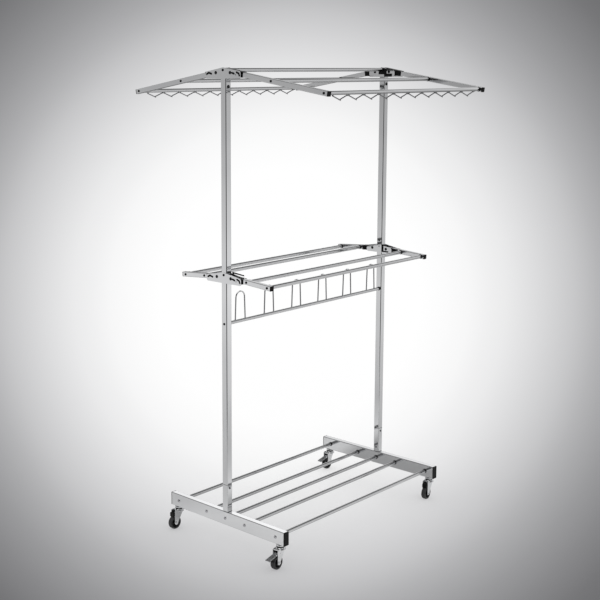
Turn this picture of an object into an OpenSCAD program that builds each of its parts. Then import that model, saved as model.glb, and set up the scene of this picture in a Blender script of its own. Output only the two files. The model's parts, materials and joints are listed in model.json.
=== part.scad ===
// Rolling stand for drying and hanging clothes: two feet on casters, two uprights,
// two levels of folding shelves, a row of wire hoops and a base shelf.
// X runs from upright to upright, -Y is the front, Z is up, the floor is z = 0.

/* [Frame] */
// Distance between the centre lines of the uprights
upright_pitch = 914; // [700:1:1100]
// Side of the square upright tube
upright_w = 25; // [22:0.5:32]
// Wall of the upright and foot tubes
tube_wall = 1.5; // [1:0.1:2]
// Corner radius of the square tubes
tube_corner = 2.5; // [2:0.1:3.5]
// Height of the screw that centres the top plates
top_level = 1725; // [1500:1:1800]
// Height of the screw that centres the middle plates
mid_level = 1010; // [900:1:1100]
// Length of the fixed stub under each upright
stub_len = 100; // [80:1:140]
// Length of the connector inside each tube at the joint
sleeve_depth = 60; // [40:1:80]
// Thickness of the black ring between stub and upright
joint_ring = 1.5; // [1:0.1:3]
// Thickness of the gasket between foot and stub
gasket_t = 1.5; // [1:0.1:3]
// Thickness of the plug flange on the top of each upright
top_plug_t = 1.5; // [1:0.1:3]

/* [Feet] */
// Length of a foot over its end caps
foot_len = 570; // [450:1:700]
// Height of the foot tube
foot_h = 50; // [40:1:60]
// Thickness of the flange of a foot end cap
foot_cap_t = 3; // [2:0.1:5]
// Depth of a cap's plug inside its tube
cap_plug = 10; // [6:0.5:12]
// Distance of the outer base rods from the ends of the feet
base_rod_inset = 41; // [32:1:60]
// Distance of the inner base rods from the middle
base_rod_inner = 96; // [60:1:140]

/* [Rods] */
// Diameter of the base and shelf rods
rod_d = 14; // [12:0.5:16]
// Wall of the rods
rod_wall = 1.2; // [0.8:0.1:1.5]
// Diameter of the black flange at a rod end
flange_d = 17; // [16.5:0.5:20]
// Thickness of the black flange at a rod end
flange_t = 3; // [2:0.1:5]
// Depth of the plug inside a rod
rod_plug = 18; // [12:0.5:25]
// Diameter of a screw shank
screw_d = 5; // [4:0.1:6]
// Diameter of a screw head
screw_head_d = 9; // [8:0.1:11]
// Height of a screw head
screw_head_h = 3; // [2:0.1:4]
// Diameter of the screw heads outside the feet
foot_screw_head_d = 12; // [8:0.1:14]

/* [Plates] */
// Thickness of a gusset plate
plate_t = 2; // [1.5:0.1:3]
// Half width of an outer gusset plate
plate_half = 84; // [80:1:95]
// Half width of an inner gusset plate
inner_plate_half = 62; // [56:1:70]
// Height of an outer plate's top over its centre screw
plate_rise = 9; // [8.5:0.5:14]
// Depth of an outer plate's lower edge under its centre screw
plate_drop = 29; // [26:0.5:34]
// Depth of an inner plate's lower edge under its centre screw
inner_plate_drop = 25; // [24:0.5:30]
// Fall of a plate's top edge per unit of width
plate_slope = 0.174; // [0.12:0.001:0.2]
// Corner radius of a plate
plate_corner = 7; // [4:0.5:9]
// Width of the slots in the outer plates
slot_w = 7; // [4:0.5:8]

/* [Shelves] */
// Side of the square arm tube
arm_w = 17.5; // [16:0.5:18]
// Wall of an arm tube
arm_wall = 1.5; // [1:0.1:1.8]
// Slope of the top arms in degrees
top_slope = 9.4; // [6:0.05:14]
// Slope of the middle arms in degrees
mid_slope = 4.3; // [2:0.05:8]
// Height of the top arms' centre line over the centre screw, at the middle
top_arm_rise = -2; // [-3:0.1:0]
// Height of the middle arms' centre line over the centre screw, at the middle
mid_arm_rise = -7; // [-9:0.1:-3]
// Distance of the top end rods from the middle
top_rod_end = 441; // [400:1:480]
// Distance of the top middle rods from the middle
top_rod_mid = 215.5; // [160:0.5:260]
// Distance of the middle shelf's end rods from the middle
mid_rod_end = 199.5; // [185:0.5:240]
// Distance of the middle shelf's inner rods from the middle
mid_rod_mid = 103; // [100:0.5:120]
// Length of an arm past its end rod, with the cap
arm_over = 16.5; // [14:0.5:24]
// Thickness of the flange of an arm end cap
arm_cap_t = 3; // [2:0.1:4]
// Distance of an arm's pivot from the middle
pivot_y = 34; // [33.5:0.5:38]
// Depth of an arm's pivot under the centre screw
pivot_drop = 9; // [7:0.5:10]
// Diameter of a pivot pin
pivot_d = 8; // [6:0.1:9]
// Length of an arm inward of its pivot
arm_tail = 16.5; // [15:0.5:16.5]
// Length of a hinge sleeve outward of its pivot
sleeve_out = 53; // [50:0.5:56]
// Wall of a hinge sleeve above and below the arm
sleeve_wall = 1.2; // [1:0.1:1.5]

/* [Wires] */
// Diameter of the zigzag wire
zig_d = 4.8; // [3:0.1:6]
// Number of notches in a zigzag wire
zig_n = 10; // [6:2:12]
// Distance of the zigzag wires' ends from the arms
zig_inset = 28.25; // [22:0.25:60]
// Depth of a notch between wire centres
zig_depth = 15; // [10:0.5:20]
// Diameter of the hoop bar
bar_d = 12.5; // [11.5:0.1:14]
// Height of the hoop bar
bar_level = 833; // [780:1:900]
// Diameter of the hoop wire
hoop_d = 5; // [4:0.1:6]
// Number of hoops, half of them on each side
hoop_n = 6; // [4:2:6]
// Distance of the outermost hoops' middle from the uprights
hoop_inset = 57.75; // [40:0.25:80]
// Width of a hoop between its feet
hoop_foot = 52; // [46:0.5:60]
// Width of a hoop under its round top
hoop_top = 45; // [40:0.5:46]
// Height of a hoop over the bar's centre
hoop_h = 110; // [90:1:140]

/* [Casters] */
// Height of a caster from the floor to the foot
caster_h = 85; // [80:1:95]
// Distance of a caster's swivel axis from the end of the foot
caster_inset = 28; // [24:0.5:40]
// Height of a foot over the tops of the wheels
caster_over = 35; // [34:0.5:40]
// Width of the wheel's tread
wheel_w = 18; // [14:0.5:20]
// Trail between the swivel axis and the axle
trail = 22; // [18:0.5:24]
// Thickness of a fork leg
fork_t = 2; // [1.5:0.1:3]
// Diameter of the swivel head
head_d = 30; // [28:0.5:34]
// Diameter of the dust ring under the swivel head
dust_d = 28; // [22:0.5:36]
// Diameter of the fork's round crown at its lower edge
crown_d = 38; // [36:0.5:40]
// Height of the fork's crown
crown_h = 9; // [8:0.5:10]
// Thickness of a brake pedal's plate
pedal_t = 3; // [2.5:0.5:4]
// Reach of a brake pedal past the axle
pedal_reach = 52; // [48:0.5:56]
// Drop of the pedal's plate from the pin to the tip
pedal_fall = 11; // [6:0.5:14]
// Diameter of the kingpin
kingpin_d = 8; // [6:0.1:10]
// Diameter of the caster stem inside the foot
stem_d = 10; // [8:0.1:12]
// Diameter of the axle
axle_d = 6; // [5:0.1:7]
// Headings of the casters in degrees: front left, back left, front right, back right
headings = [184, 176, 186, 182];

/* [Fits] */
// Radial clearance of turning fits
run_fit = 0.05; // [0.02:0.01:0.1]
// Clearance of a plug or sleeve in its tube
plug_fit = 0.1; // [0.05:0.01:0.2]
// Side gap between moving parts
side_gap = 0.3; // [0.2:0.05:0.4]

/* [Hidden] */
$fn = 48;
half_pitch = upright_pitch / 2;
half_w = upright_w / 2;
foot_top = caster_h + foot_h;
foot_mid = caster_h + foot_h / 2;
stub_z = foot_top + gasket_t;
joint_z = stub_z + stub_len;
upright_z = joint_z + joint_ring;
upright_top = top_level + plate_rise - 3;
inner_face = half_pitch - half_w;
outer_face = half_pitch + half_w;
rod_bore = rod_d - 2 * rod_wall;
arm_inner = half_pitch - arm_w / 2;
arm_outer = half_pitch + arm_w / 2;
sleeve_w = upright_w - 2 * side_gap;
sleeve_h = arm_w + 2 * sleeve_wall;
swivel_y = foot_len / 2 - caster_inset;
base_rod_outer = foot_len / 2 - base_rod_inset;
zig_pitch = 2 * (arm_inner - zig_inset) / zig_n;
hoop_pitch = 2 * (inner_face - hoop_inset) / (hoop_n - 1);
wheel_d = caster_h - caster_over;
hub_w = wheel_w + 2;
leg_in = hub_w / 2 + side_gap;
head_h = 6;
dust_h = 4;
head_z = caster_h - head_h;
crown_top = head_z - dust_h;
crown_bot = crown_top - crown_h;
kingpin_end_h = 2;
kingpin_end_d = kingpin_d + 6;
leg_end_r = 8;
wheel_hub_d = 15;
kingpin_end_z = crown_bot - side_gap - kingpin_end_h;
axle_z = wheel_d / 2;
axle_end_d = 11;
axle_end_h = 3;
caster_at = [[-1, -1], [-1, 1], [1, -1], [1, 1]];
brake_pin_d = 4;
brake_hub_d = 9;
wheel_gap = 2.2;
brake_u = trail - 8;
brake_z = wheel_d + wheel_gap + brake_hub_d / 2 + side_gap;
zig_lean = atan(zig_depth / (zig_pitch / 2));

// ---------- shared shapes ----------

// Rectangle with round corners, centred
module round_rect(w, h, r) {
    square([w - 2 * r, h], center = true);
    square([w, h - 2 * r], center = true);
    for (x = [-1, 1], y = [-1, 1]) translate([x * (w / 2 - r), y * (h / 2 - r)]) circle(r);
}

// Rectangular tube along +Z from z = 0
module rect_tube(w, h, len, wall, r) {
    difference() {
        linear_extrude(len) round_rect(w, h, r);
        translate([0, 0, -1]) linear_extrude(len + 2)
            round_rect(w - 2 * wall, h - 2 * wall, r - wall / 2);
    }
}

// Cylinder along X, centred
module x_cyl(d, len) {
    rotate([0, 90, 0]) cylinder(d = d, h = len, center = true);
}

// Cylinder along +X from x = 0
module x_bar(d, len) {
    rotate([0, 90, 0]) cylinder(d = d, h = len);
}

// Screw along +X with its head on the -X side and the head's face at x = 0
module x_screw(len, d = screw_d, head = screw_head_d) {
    x_bar(d, len);
    intersection() {
        translate([-screw_head_h, 0, 0]) x_bar(head, screw_head_h);
        translate([head * 0.75, 0, 0]) sphere(head * 0.75 + screw_head_h, $fn = 64);
    }
}

// Round rod with a bore, along X, centred
module rod(len) {
    difference() {
        x_cyl(rod_d, len);
        x_cyl(rod_bore, len + 2);
    }
}

// Rod end plug: the flange lies at x = 0 .. flange_t and the plug points to +X
module rod_end(bore = rod_bore, flange = flange_d) {
    difference() {
        union() {
            x_bar(flange, flange_t);
            x_bar(bore - 2 * plug_fit, flange_t + rod_plug);
        }
        translate([-1, 0, 0]) x_bar(screw_d + 2 * run_fit, flange_t + rod_plug + 2);
    }
}

// Copies the children, drawn for the left side, onto both sides
module both_sides() {
    children();
    mirror([1, 0, 0]) children();
}

// ---------- feet and base shelf ----------

base_rod_y = [-base_rod_outer, -base_rod_inner, 0, base_rod_inner, base_rod_outer];
foot_screw_len = upright_w + flange_t + rod_plug - 2;
stem_len = 12;

module foot(side) {
    tube_len = foot_len - 2 * foot_cap_t;
    color("silver") translate([side * half_pitch, 0, foot_mid]) difference() {
        rotate([90, 0, 0]) translate([0, 0, -tube_len / 2])
            rect_tube(upright_w, foot_h, tube_len, tube_wall, tube_corner);
        for (y = base_rod_y) translate([0, y, 0]) screw_bore();
        for (y = [-swivel_y, swivel_y]) translate([0, y, -foot_h / 2 - 1])
            cylinder(d = stem_d + 2 * plug_fit, h = tube_wall + 2);
    }
}

// End cap of a w by h tube along +Z: the tube ends at z = 0, the flange lies above it
module tube_cap(w, h, wall, r, flange, plug) {
    fit = wall + plug_fit;
    linear_extrude(flange) round_rect(w, h, r);
    translate([0, 0, -plug]) linear_extrude(plug) round_rect(w - 2 * fit, h - 2 * fit, plug_corner);
}

// Caps of the feet and of the uprights' top ends
module tube_caps() {
    color("black") both_sides() translate([-half_pitch, 0, 0]) {
        for (turn = [0, 180]) translate([0, 0, foot_mid]) rotate([0, 0, turn])
            translate([0, -foot_len / 2 + foot_cap_t, 0]) rotate([90, 0, 0])
                tube_cap(upright_w, foot_h, tube_wall, tube_corner, foot_cap_t, cap_plug);
        translate([0, 0, upright_top])
            tube_cap(upright_w, upright_w, tube_wall, tube_corner, top_plug_t, top_plug_len);
    }
}

module foot_screws() {
    color("silver") both_sides() for (y = base_rod_y)
        translate([-outer_face, y, foot_mid]) x_screw(foot_screw_len, screw_d, foot_screw_head_d);
}

module base_rods() {
    color("silver") for (y = base_rod_y) translate([0, y, foot_mid]) rod(2 * (inner_face - flange_t));
}

module rod_plugs() {
    color("black") both_sides() {
        for (y = base_rod_y) translate([-inner_face, y, foot_mid]) rod_end();
        translate([-inner_face + plate_t, 0, top_level]) rod_end();
    }
}

// ---------- uprights ----------

inner_screw_z = [stub_z + 18, mid_level + 24];
front_screw_z = [joint_z - 12, top_level - 57];
front_screw_head = [7, 13];
inner_screw_head = 7;
small_screw_len = 8;
top_plug_len = 2.2;
plug_corner = 2;
connector_wall = 2;
gasket_wall = 3;

// Bore for a screw right across an upright, a stub or a foot
module screw_bore() {
    x_cyl(screw_d + 2 * plug_fit, upright_w + 2);
}

// Cuts for the small screws on one upright or stub, at the left side
module small_screw_cuts() {
    bore = screw_d + 2 * plug_fit;
    cut_len = 2 * small_screw_len + 2;
    for (z = inner_screw_z) translate([half_w, 0, z]) x_cyl(bore, cut_len);
    for (z = front_screw_z) translate([0, -half_w, z]) rotate([0, 0, 90]) x_cyl(bore, cut_len);
}

module stubs() {
    color("silver") both_sides() translate([-half_pitch, 0, 0]) difference() {
        translate([0, 0, stub_z]) rect_tube(upright_w, upright_w, stub_len, tube_wall, tube_corner);
        small_screw_cuts();
    }
}

// Black inner sleeves that join stubs and uprights, and the gaskets under the stubs
module joint_connectors() {
    core = upright_w - 2 * (tube_wall + plug_fit);
    core_len = 2 * sleeve_depth + joint_ring;
    color("black") both_sides() translate([-half_pitch, 0, 0]) {
        difference() {
            union() {
                translate([0, 0, joint_z - sleeve_depth]) linear_extrude(core_len)
                    round_rect(core, core, plug_corner);
                translate([0, 0, joint_z]) linear_extrude(joint_ring)
                    round_rect(upright_w, upright_w, tube_corner);
            }
            translate([0, 0, joint_z - sleeve_depth - 1]) linear_extrude(core_len + 2)
                square(core - 2 * connector_wall, center = true);
            small_screw_cuts();
        }
        translate([0, 0, foot_top])
            rect_tube(upright_w, upright_w, gasket_t, gasket_wall, tube_corner);
    }
}

module upright() {
    translate([-half_pitch, 0, 0]) difference() {
        translate([0, 0, upright_z])
            rect_tube(upright_w, upright_w, upright_top - upright_z, tube_wall, tube_corner);
        for (z = [top_level, mid_level, bar_level]) translate([0, 0, z]) screw_bore();
        small_screw_cuts();
    }
}

module upright_left() {
    color("silver") upright();
}

module upright_right() {
    color("silver") mirror([1, 0, 0]) upright();
}

module upright_screws() {
    color("silver") both_sides() translate([-half_pitch, 0, 0]) {
        for (z = inner_screw_z) translate([half_w, 0, z]) mirror([1, 0, 0])
            x_screw(small_screw_len, screw_d, inner_screw_head);
        for (i = [0, 1]) translate([0, -half_w, front_screw_z[i]]) rotate([0, 0, 90])
            x_screw(small_screw_len, screw_d, front_screw_head[i]);
        translate([-half_w, 0, bar_level]) x_screw(foot_screw_len);
    }
}

// ---------- gusset plates ----------

inner_rise = plate_rise - 2;
pin_len = upright_w + 2 * plate_t;
back_catch = [[21, -3.5], [34, 0], [43.5, -5]];
front_catch = [[31, 1], [41, -3], [44, -10]];
front_slot = [[9.5, -0.8], [19, -3.5]];
plate_hole_d = 4;
plate_hole_out = 26;
plate_hole_low = 7.5;
pin_head_t = 1.5;
pin_head_d = pivot_d + 4;
latch_t = 3;
latch_low = pivot_drop + pin_head_d / 2 + 1;

// Point on the arc of radius r round c at angle a
function arc_point(c, r, a) = [c[0] + r * cos(a), c[1] + r * sin(a)];

// Outline of a gable plate in (y, z), with its centre screw at the origin
function plate_outline(half, rise, drop, r) =
    let (lean = atan(plate_slope), top = rise - plate_slope * (half - r) - r / cos(lean), low = -drop + r)
    concat(
        [for (i = [0:6]) arc_point([half - r, low], r, -90 + i * 15)],
        [for (i = [0:5]) arc_point([half - r, top], r, i * (90 - lean) / 5)],
        [[0, rise]],
        [for (i = [5:-1:0]) arc_point([r - half, top], r, 180 - i * (90 - lean) / 5)],
        [for (i = [0:6]) arc_point([r - half, low], r, 180 + i * 15)]
    );

// Angle of the step from point a to point b
function heading_of(a, b) = atan2(b[1] - a[1], b[0] - a[0]);

// Corner of a slot's edge at the bend b of a path, r to the left of it
function bend_point(a, b, c, r) =
    let (lean = (heading_of(b, c) - heading_of(a, b)) / 2)
    arc_point(b, r / cos(lean), heading_of(a, b) + lean + 90);

// Outline of a slot of half width r with round ends along a path
function slot_outline(path, r) =
    let (last = len(path) - 1)
    let (first_dir = heading_of(path[0], path[1]), last_dir = heading_of(path[last - 1], path[last]))
    concat(
        [for (k = [0:8]) arc_point(path[0], r, first_dir + 90 + k * 22.5)],
        [for (k = [1:1:last - 1]) bend_point(path[k - 1], path[k], path[k + 1], -r)],
        [for (k = [0:8]) arc_point(path[last], r, last_dir - 90 + k * 22.5)],
        [for (k = [last - 1:-1:1]) bend_point(path[k - 1], path[k], path[k + 1], r)]
    );

// Slot along a path given outward and upward of a pivot; way is 1 for the back pivot and
// -1 for the front one
module plate_slot(path, way) {
    polygon(slot_outline([for (p = path) [way * (pivot_y + p[0]), p[1] - pivot_drop]], slot_w / 2));
}

// One plate in the plane x = 0 .. plate_t
module plate(half, rise, drop, slots) {
    rotate([90, 0, 90]) linear_extrude(plate_t) difference() {
        polygon(plate_outline(half, rise, drop, plate_corner));
        circle(d = screw_d + 2 * plug_fit);
        for (way = [-1, 1]) translate([way * pivot_y, -pivot_drop]) circle(d = pivot_d + 2 * run_fit);
        if (slots) {
            plate_slot(back_catch, 1);
            plate_slot(front_catch, -1);
            plate_slot(front_slot, -1);
            translate([-pivot_y - plate_hole_out, -pivot_drop - plate_hole_low]) circle(d = plate_hole_d);
        }
    }
}

module outer_plates() {
    color("silver") both_sides() for (z = [top_level, mid_level])
        translate([-outer_face - plate_t, 0, z]) plate(plate_half, plate_rise, plate_drop, true);
}

module inner_plates() {
    color("silver") both_sides() for (z = [top_level, mid_level])
        translate([-inner_face, 0, z]) plate(inner_plate_half, inner_rise, inner_plate_drop, false);
}

// Outline in (y, z) of the latch beside a top plate
top_latch = [
    [0, 6], [10, 4], [14, -5], [14, -19], [-12.5, -19], [-12.5, -inner_plate_drop],
    [-48.5, -inner_plate_drop], [-48.5, -latch_low], [-22, -latch_low], [-22, 2]
];

// Outline in (y, z) of the latch beside a middle plate
mid_latch = [
    [-14, -22], [-14, 9], [-21, 9], [-70, 4], [-70, 0], [-21, 4], [-21, -17], [-45, -17], [-45, -22]
];

module latches() {
    color("black") both_sides() translate([-inner_face + plate_t, 0, 0]) {
        translate([0, 0, top_level]) rotate([90, 0, 90]) linear_extrude(latch_t) difference() {
            polygon(top_latch);
            circle(d = flange_d + 2 * side_gap);
        }
        translate([0, 0, mid_level]) rotate([90, 0, 90]) linear_extrude(latch_t) polygon(mid_latch);
    }
}

module plate_screws() {
    color("dimgray") both_sides() {
        translate([-outer_face - plate_t, 0, top_level]) x_screw(pin_len + flange_t + rod_plug - 2);
        translate([-outer_face - plate_t, 0, mid_level]) x_screw(pin_len);
    }
}

// Pin across both plates with a flat head outside each
module pivot_pin() {
    x_bar(pivot_d, pin_len);
    for (x = [-pin_head_t, pin_len]) translate([x, 0, 0]) x_bar(pin_head_d, pin_head_t);
}

module pivot_pins() {
    color("dimgray") both_sides() for (z = [top_level, mid_level], y = [-pivot_y, pivot_y])
        translate([-outer_face - plate_t, y, z - pivot_drop]) pivot_pin();
}

module centre_rod() {
    color("silver") translate([0, 0, top_level]) rod(2 * (inner_face - plate_t - flange_t));
}

// ---------- hoop rail ----------

bar_bore = bar_d - 2 * rod_wall;
hoop_side = atan((hoop_foot - hoop_top) / 2 / (hoop_h - hoop_top / 2));
hoop_arc_z = hoop_h - hoop_top / 2 - hoop_d / 2;
hoop_sink = 4;
bar_flange_d = bar_d + 2.5;

// Straight leg of a hoop, from the bar up to the round top
module hoop_leg(way) {
    from = [way * (hoop_foot / 2), bar_d / 2 - hoop_sink];
    to = [way * hoop_top / 2, hoop_arc_z];
    run = to - from;
    translate([from[0], 0, from[1]]) rotate([0, atan2(run[0], run[1]), 0])
        cylinder(d = hoop_d, h = norm(run));
}

module hoop() {
    for (way = [-1, 1]) hoop_leg(way);
    for (way = [-1, 1]) translate([way * hoop_top / 2, 0, hoop_arc_z]) sphere(d = hoop_d);
    translate([0, 0, hoop_arc_z]) rotate([90, 0, 0]) rotate_extrude(angle = 180)
        translate([hoop_top / 2, 0]) circle(d = hoop_d);
}

function hoop_x(i) = (i + 0.5) * hoop_pitch;

module hoops(side) {
    color("silver") for (i = [0:hoop_n / 2 - 1]) translate([side * hoop_x(i), 0, bar_level]) hoop();
}

module hoop_bar() {
    color("silver") translate([0, 0, bar_level]) difference() {
        x_cyl(bar_d, 2 * (inner_face - flange_t));
        x_cyl(bar_bore, 2 * inner_face);
        for (side = [-1, 1], i = [0:hoop_n / 2 - 1], way = [-1, 1])
            translate([side * hoop_x(i) + way * hoop_foot / 2, 0, bar_d / 2 - hoop_sink - 1])
                rotate([0, -way * hoop_side, 0]) cylinder(d = hoop_d + 2 * plug_fit, h = hoop_sink + 3);
    }
}

module bar_plugs() {
    color("black") both_sides() translate([-inner_face, 0, bar_level]) rod_end(bar_bore, bar_flange_d);
}

// ---------- folding shelves ----------

// A shelf is drawn on the back side, in a frame whose origin is where the arms' centre line
// crosses the middle plane, with u along the arm, and is mirrored for the front.
module shelf_place(level, rise, slope, way) {
    mirror([0, way < 0 ? 1 : 0, 0]) translate([0, 0, level + rise]) rotate([-slope, 0, 0]) children();
}

arm_corner = 2;
arm_plug = 5;

// Place of the pivot in the arm's frame
function pivot_uv(rise, slope) =
    let (dz = -pivot_drop - rise)
    [pivot_y * cos(slope) - dz * sin(slope), dz * cos(slope) + pivot_y * sin(slope)];

module shelf_arms(rise, slope, rods) {
    pivot = pivot_uv(rise, slope);
    start = pivot[0] - arm_tail;
    run = rods[1] / cos(slope) + arm_over - arm_cap_t - start;
    color("silver") both_sides() translate([-half_pitch, 0, 0]) difference() {
        translate([0, start, 0]) rotate([-90, 0, 0]) rect_tube(arm_w, arm_w, run, arm_wall, arm_corner);
        translate([0, pivot[0], pivot[1]]) x_cyl(pivot_d + 2 * run_fit, arm_w + 2);
        for (y = rods) translate([0, y / cos(slope), 0]) x_cyl(screw_d + 2 * plug_fit, arm_w + 2);
    }
}

module shelf_rods(slope, rods) {
    color("silver") for (y = rods) translate([0, y / cos(slope), 0]) rod(2 * (arm_inner - flange_t));
}

// Black plugs of the rods and end caps of the arms
module shelf_plugs(slope, rods) {
    color("black") both_sides() {
        for (y = rods) translate([-arm_inner, y / cos(slope), 0]) rod_end();
        translate([-half_pitch, rods[1] / cos(slope) + arm_over - arm_cap_t, 0]) rotate([-90, 0, 0])
            tube_cap(arm_w, arm_w, arm_wall, arm_corner, arm_cap_t, arm_plug);
    }
}

// Black sleeve that lines an arm's inner end between the plates; an open one shows the arm's top
module shelf_sleeves(rise, slope, open) {
    pivot = pivot_uv(rise, slope);
    start = pivot[0] - arm_tail - 1;
    run = arm_tail + 1 + sleeve_out;
    bore = arm_w + 2 * plug_fit;
    color("black") both_sides() translate([-half_pitch, 0, 0]) difference() {
        translate([0, start, 0]) rotate([-90, 0, 0]) linear_extrude(run)
            square([sleeve_w, sleeve_h], center = true);
        translate([0, start - 1, 0]) rotate([-90, 0, 0]) linear_extrude(run + 2)
            round_rect(bore, bore, arm_corner);
        if (open) {
            translate([-bore / 2, start - 1, 0]) cube([bore, run + 2, sleeve_h]);
            translate([-sleeve_w, start - 1, arm_w / 2]) cube([2 * sleeve_w, run + 2, sleeve_h]);
        }
        translate([0, pivot[0], pivot[1]]) x_cyl(pivot_d + 2 * run_fit, upright_w + 2);
    }
}

module shelf_screws(slope, rods) {
    color("silver") both_sides() for (y = rods)
        translate([-arm_outer, y / cos(slope), 0]) x_screw(arm_w + flange_t + rod_plug - 2);
}

// Straight piece of zigzag wire over one half pitch from x, mitred at both ends; fall is 1 downwards
module wire(x, high, fall) {
    step = zig_pitch / 2;
    intersection() {
        translate([x + step / 2, 0, high - zig_depth / 2]) rotate([0, 90 + fall * zig_lean, 0])
            cylinder(d = zig_d, h = zig_pitch, center = true);
        translate([x, -zig_d, high - 2 * zig_depth]) cube([step, 2 * zig_d, 3 * zig_depth]);
    }
}

// Half of a zigzag wire under an end rod, upright when the shelf is open; side is -1 or 1
module zigzag(slope, rods, side) {
    high = -rod_d / 2 - zig_d / 2 / cos(zig_lean);
    color("silver") translate([0, rods[1] / cos(slope), 0]) rotate([slope, 0, 0])
        for (i = [0:zig_n / 2 - 1]) {
            x = (side < 0 ? -i - 1 : i) * zig_pitch;
            wire(x, high, 1);
            wire(x + zig_pitch / 2, high, -1);
        }
}

module top_shelf(way, what) {
    rods = [top_rod_mid, top_rod_end];
    shelf_place(top_level, top_arm_rise, top_slope, way) {
        if (what == "arms") shelf_arms(top_arm_rise, top_slope, rods);
        if (what == "rods") shelf_rods(top_slope, rods);
        if (what == "plugs") shelf_plugs(top_slope, rods);
        if (what == "sleeves") shelf_sleeves(top_arm_rise, top_slope, false);
        if (what == "screws") shelf_screws(top_slope, rods);
        if (what == "zigzag_left") zigzag(top_slope, rods, -1);
        if (what == "zigzag_right") zigzag(top_slope, rods, 1);
    }
}

module mid_shelf(way, what) {
    rods = [mid_rod_mid, mid_rod_end];
    shelf_place(mid_level, mid_arm_rise, mid_slope, way) {
        if (what == "arms") shelf_arms(mid_arm_rise, mid_slope, rods);
        if (what == "rods") shelf_rods(mid_slope, rods);
        if (what == "plugs") shelf_plugs(mid_slope, rods);
        if (what == "sleeves") shelf_sleeves(mid_arm_rise, mid_slope, true);
        if (what == "screws") shelf_screws(mid_slope, rods);
    }
}

// ---------- casters ----------

// Moves the children to caster i, with u along its heading from the swivel axis
module caster_place(i) {
    translate([caster_at[i][0] * half_pitch, caster_at[i][1] * swivel_y, 0])
        rotate([0, 0, headings[i]]) children();
}

// Extrudes a (u, z) outline to the given width across a caster
module across(width) {
    rotate([90, 0, 0]) linear_extrude(width, center = true) children();
}

// Fixed head: stem in the foot, upper race, kingpin and its riveted end
module caster_heads() {
    color("silver") for (at = caster_at) translate([at[0] * half_pitch, at[1] * swivel_y, 0]) {
        translate([0, 0, caster_h]) cylinder(d = stem_d, h = stem_len);
        translate([0, 0, head_z]) cylinder(d = head_d, h = head_h);
        translate([0, 0, kingpin_end_z]) cylinder(d = kingpin_d, h = head_z - kingpin_end_z);
        translate([0, 0, kingpin_end_z]) cylinder(d = kingpin_end_d, h = kingpin_end_h);
    }
}

module dust_rings() {
    color("black") for (at = caster_at)
        translate([at[0] * half_pitch, at[1] * swivel_y, crown_top + side_gap]) difference() {
            cylinder(d = dust_d, h = dust_h - side_gap);
            translate([0, 0, -1]) cylinder(d = kingpin_d + 2 * plug_fit, h = dust_h + 2);
        }
}

// Domed crown that turns on the kingpin
module crown() {
    sink = 4.7;
    ball_r = norm([crown_d / 2, sink]);
    intersection() {
        translate([0, 0, crown_bot]) cylinder(d = crown_d + 4, h = crown_h);
        translate([0, 0, crown_bot - sink]) sphere(ball_r);
    }
}

// Fork leg outline in (u, z)
module leg_outline() {
    difference() {
        union() {
            polygon([
                [-crown_d / 2 + 7, crown_bot + 5], [-crown_d / 2 + 9, crown_top - 1], [trail, crown_top - 1],
                [trail + 7, crown_bot + 5], [trail + leg_end_r, axle_z + 1], [trail - leg_end_r, axle_z - 1]
            ]);
            translate([trail, axle_z]) circle(leg_end_r);
        }
        translate([trail, axle_z]) circle(d = axle_d + 2 * run_fit);
    }
}

module fork(i, braked) {
    color("silver") caster_place(i) {
        difference() {
            union() {
                for (way = [-1, 1]) translate([0, way * (leg_in + fork_t / 2), 0])
                    across(fork_t) leg_outline();
                crown();
            }
            translate([0, 0, crown_bot - 1]) cylinder(d = kingpin_d + 2 * run_fit, h = crown_h + 2);
            if (braked) translate([brake_u, 0, brake_z])
                across(2 * leg_in + 4 * fork_t) circle(d = brake_pin_d + 2 * run_fit);
        }
        axle();
        if (braked) brake_pin();
    }
}

// Axle bolt with a head at one side and a nut at the other
module axle() {
    span = 2 * (leg_in + fork_t);
    translate([trail, 0, axle_z]) rotate([90, 0, 0]) {
        cylinder(d = axle_d, h = span, center = true);
        translate([0, 0, span / 2]) cylinder(d = axle_end_d, h = axle_end_h);
        translate([0, 0, -span / 2 - axle_end_h]) cylinder(d = axle_end_d, h = axle_end_h, $fn = 6);
    }
}

module brake_pin() {
    span = 2 * (leg_in + fork_t);
    translate([brake_u, 0, brake_z]) rotate([90, 0, 0]) {
        cylinder(d = brake_pin_d, h = span, center = true);
        for (z = [-span / 2 - 1, span / 2]) translate([0, 0, z]) cylinder(d = brake_pin_d + 2, h = 1);
    }
}

// Wheel with a tread that stands proud of its two faces, and a hub out to the fork
module wheel(i) {
    rim = wheel_d / 2;
    face = wheel_w / 2;
    sunk = wheel_w / 2 - 3;
    color("dimgray") caster_place(i) translate([trail, 0, axle_z]) rotate([90, 0, 0]) difference() {
        union() {
            rotate_extrude($fn = 96) polygon([
                [0, -sunk], [rim - 7, -sunk], [rim - 6, -face], [rim - 2, -face], [rim, -sunk],
                [rim, sunk], [rim - 2, face], [rim - 6, face], [rim - 7, sunk], [0, sunk]]);
            cylinder(d = wheel_hub_d, h = hub_w, center = true);
        }
        cylinder(d = axle_d + 2 * run_fit, h = hub_w + 2, center = true);
    }
}

// Black hood between the legs of a caster that has no brake
module hood(i) {
    back = trail + 14;
    color("black") caster_place(i) difference() {
        across(2 * (leg_in - plug_fit)) difference() {
            polygon([
                [-4, crown_bot], [crown_d / 2 - 3, crown_bot], [back, crown_bot - 2.5],
                [back, axle_z], [6, axle_z + 10]]);
            translate([trail, axle_z]) circle(wheel_d / 2 + wheel_gap);
        }
        translate([0, 0, kingpin_end_z - 2]) cylinder(d = kingpin_end_d + 4, h = crown_h);
    }
}

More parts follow.
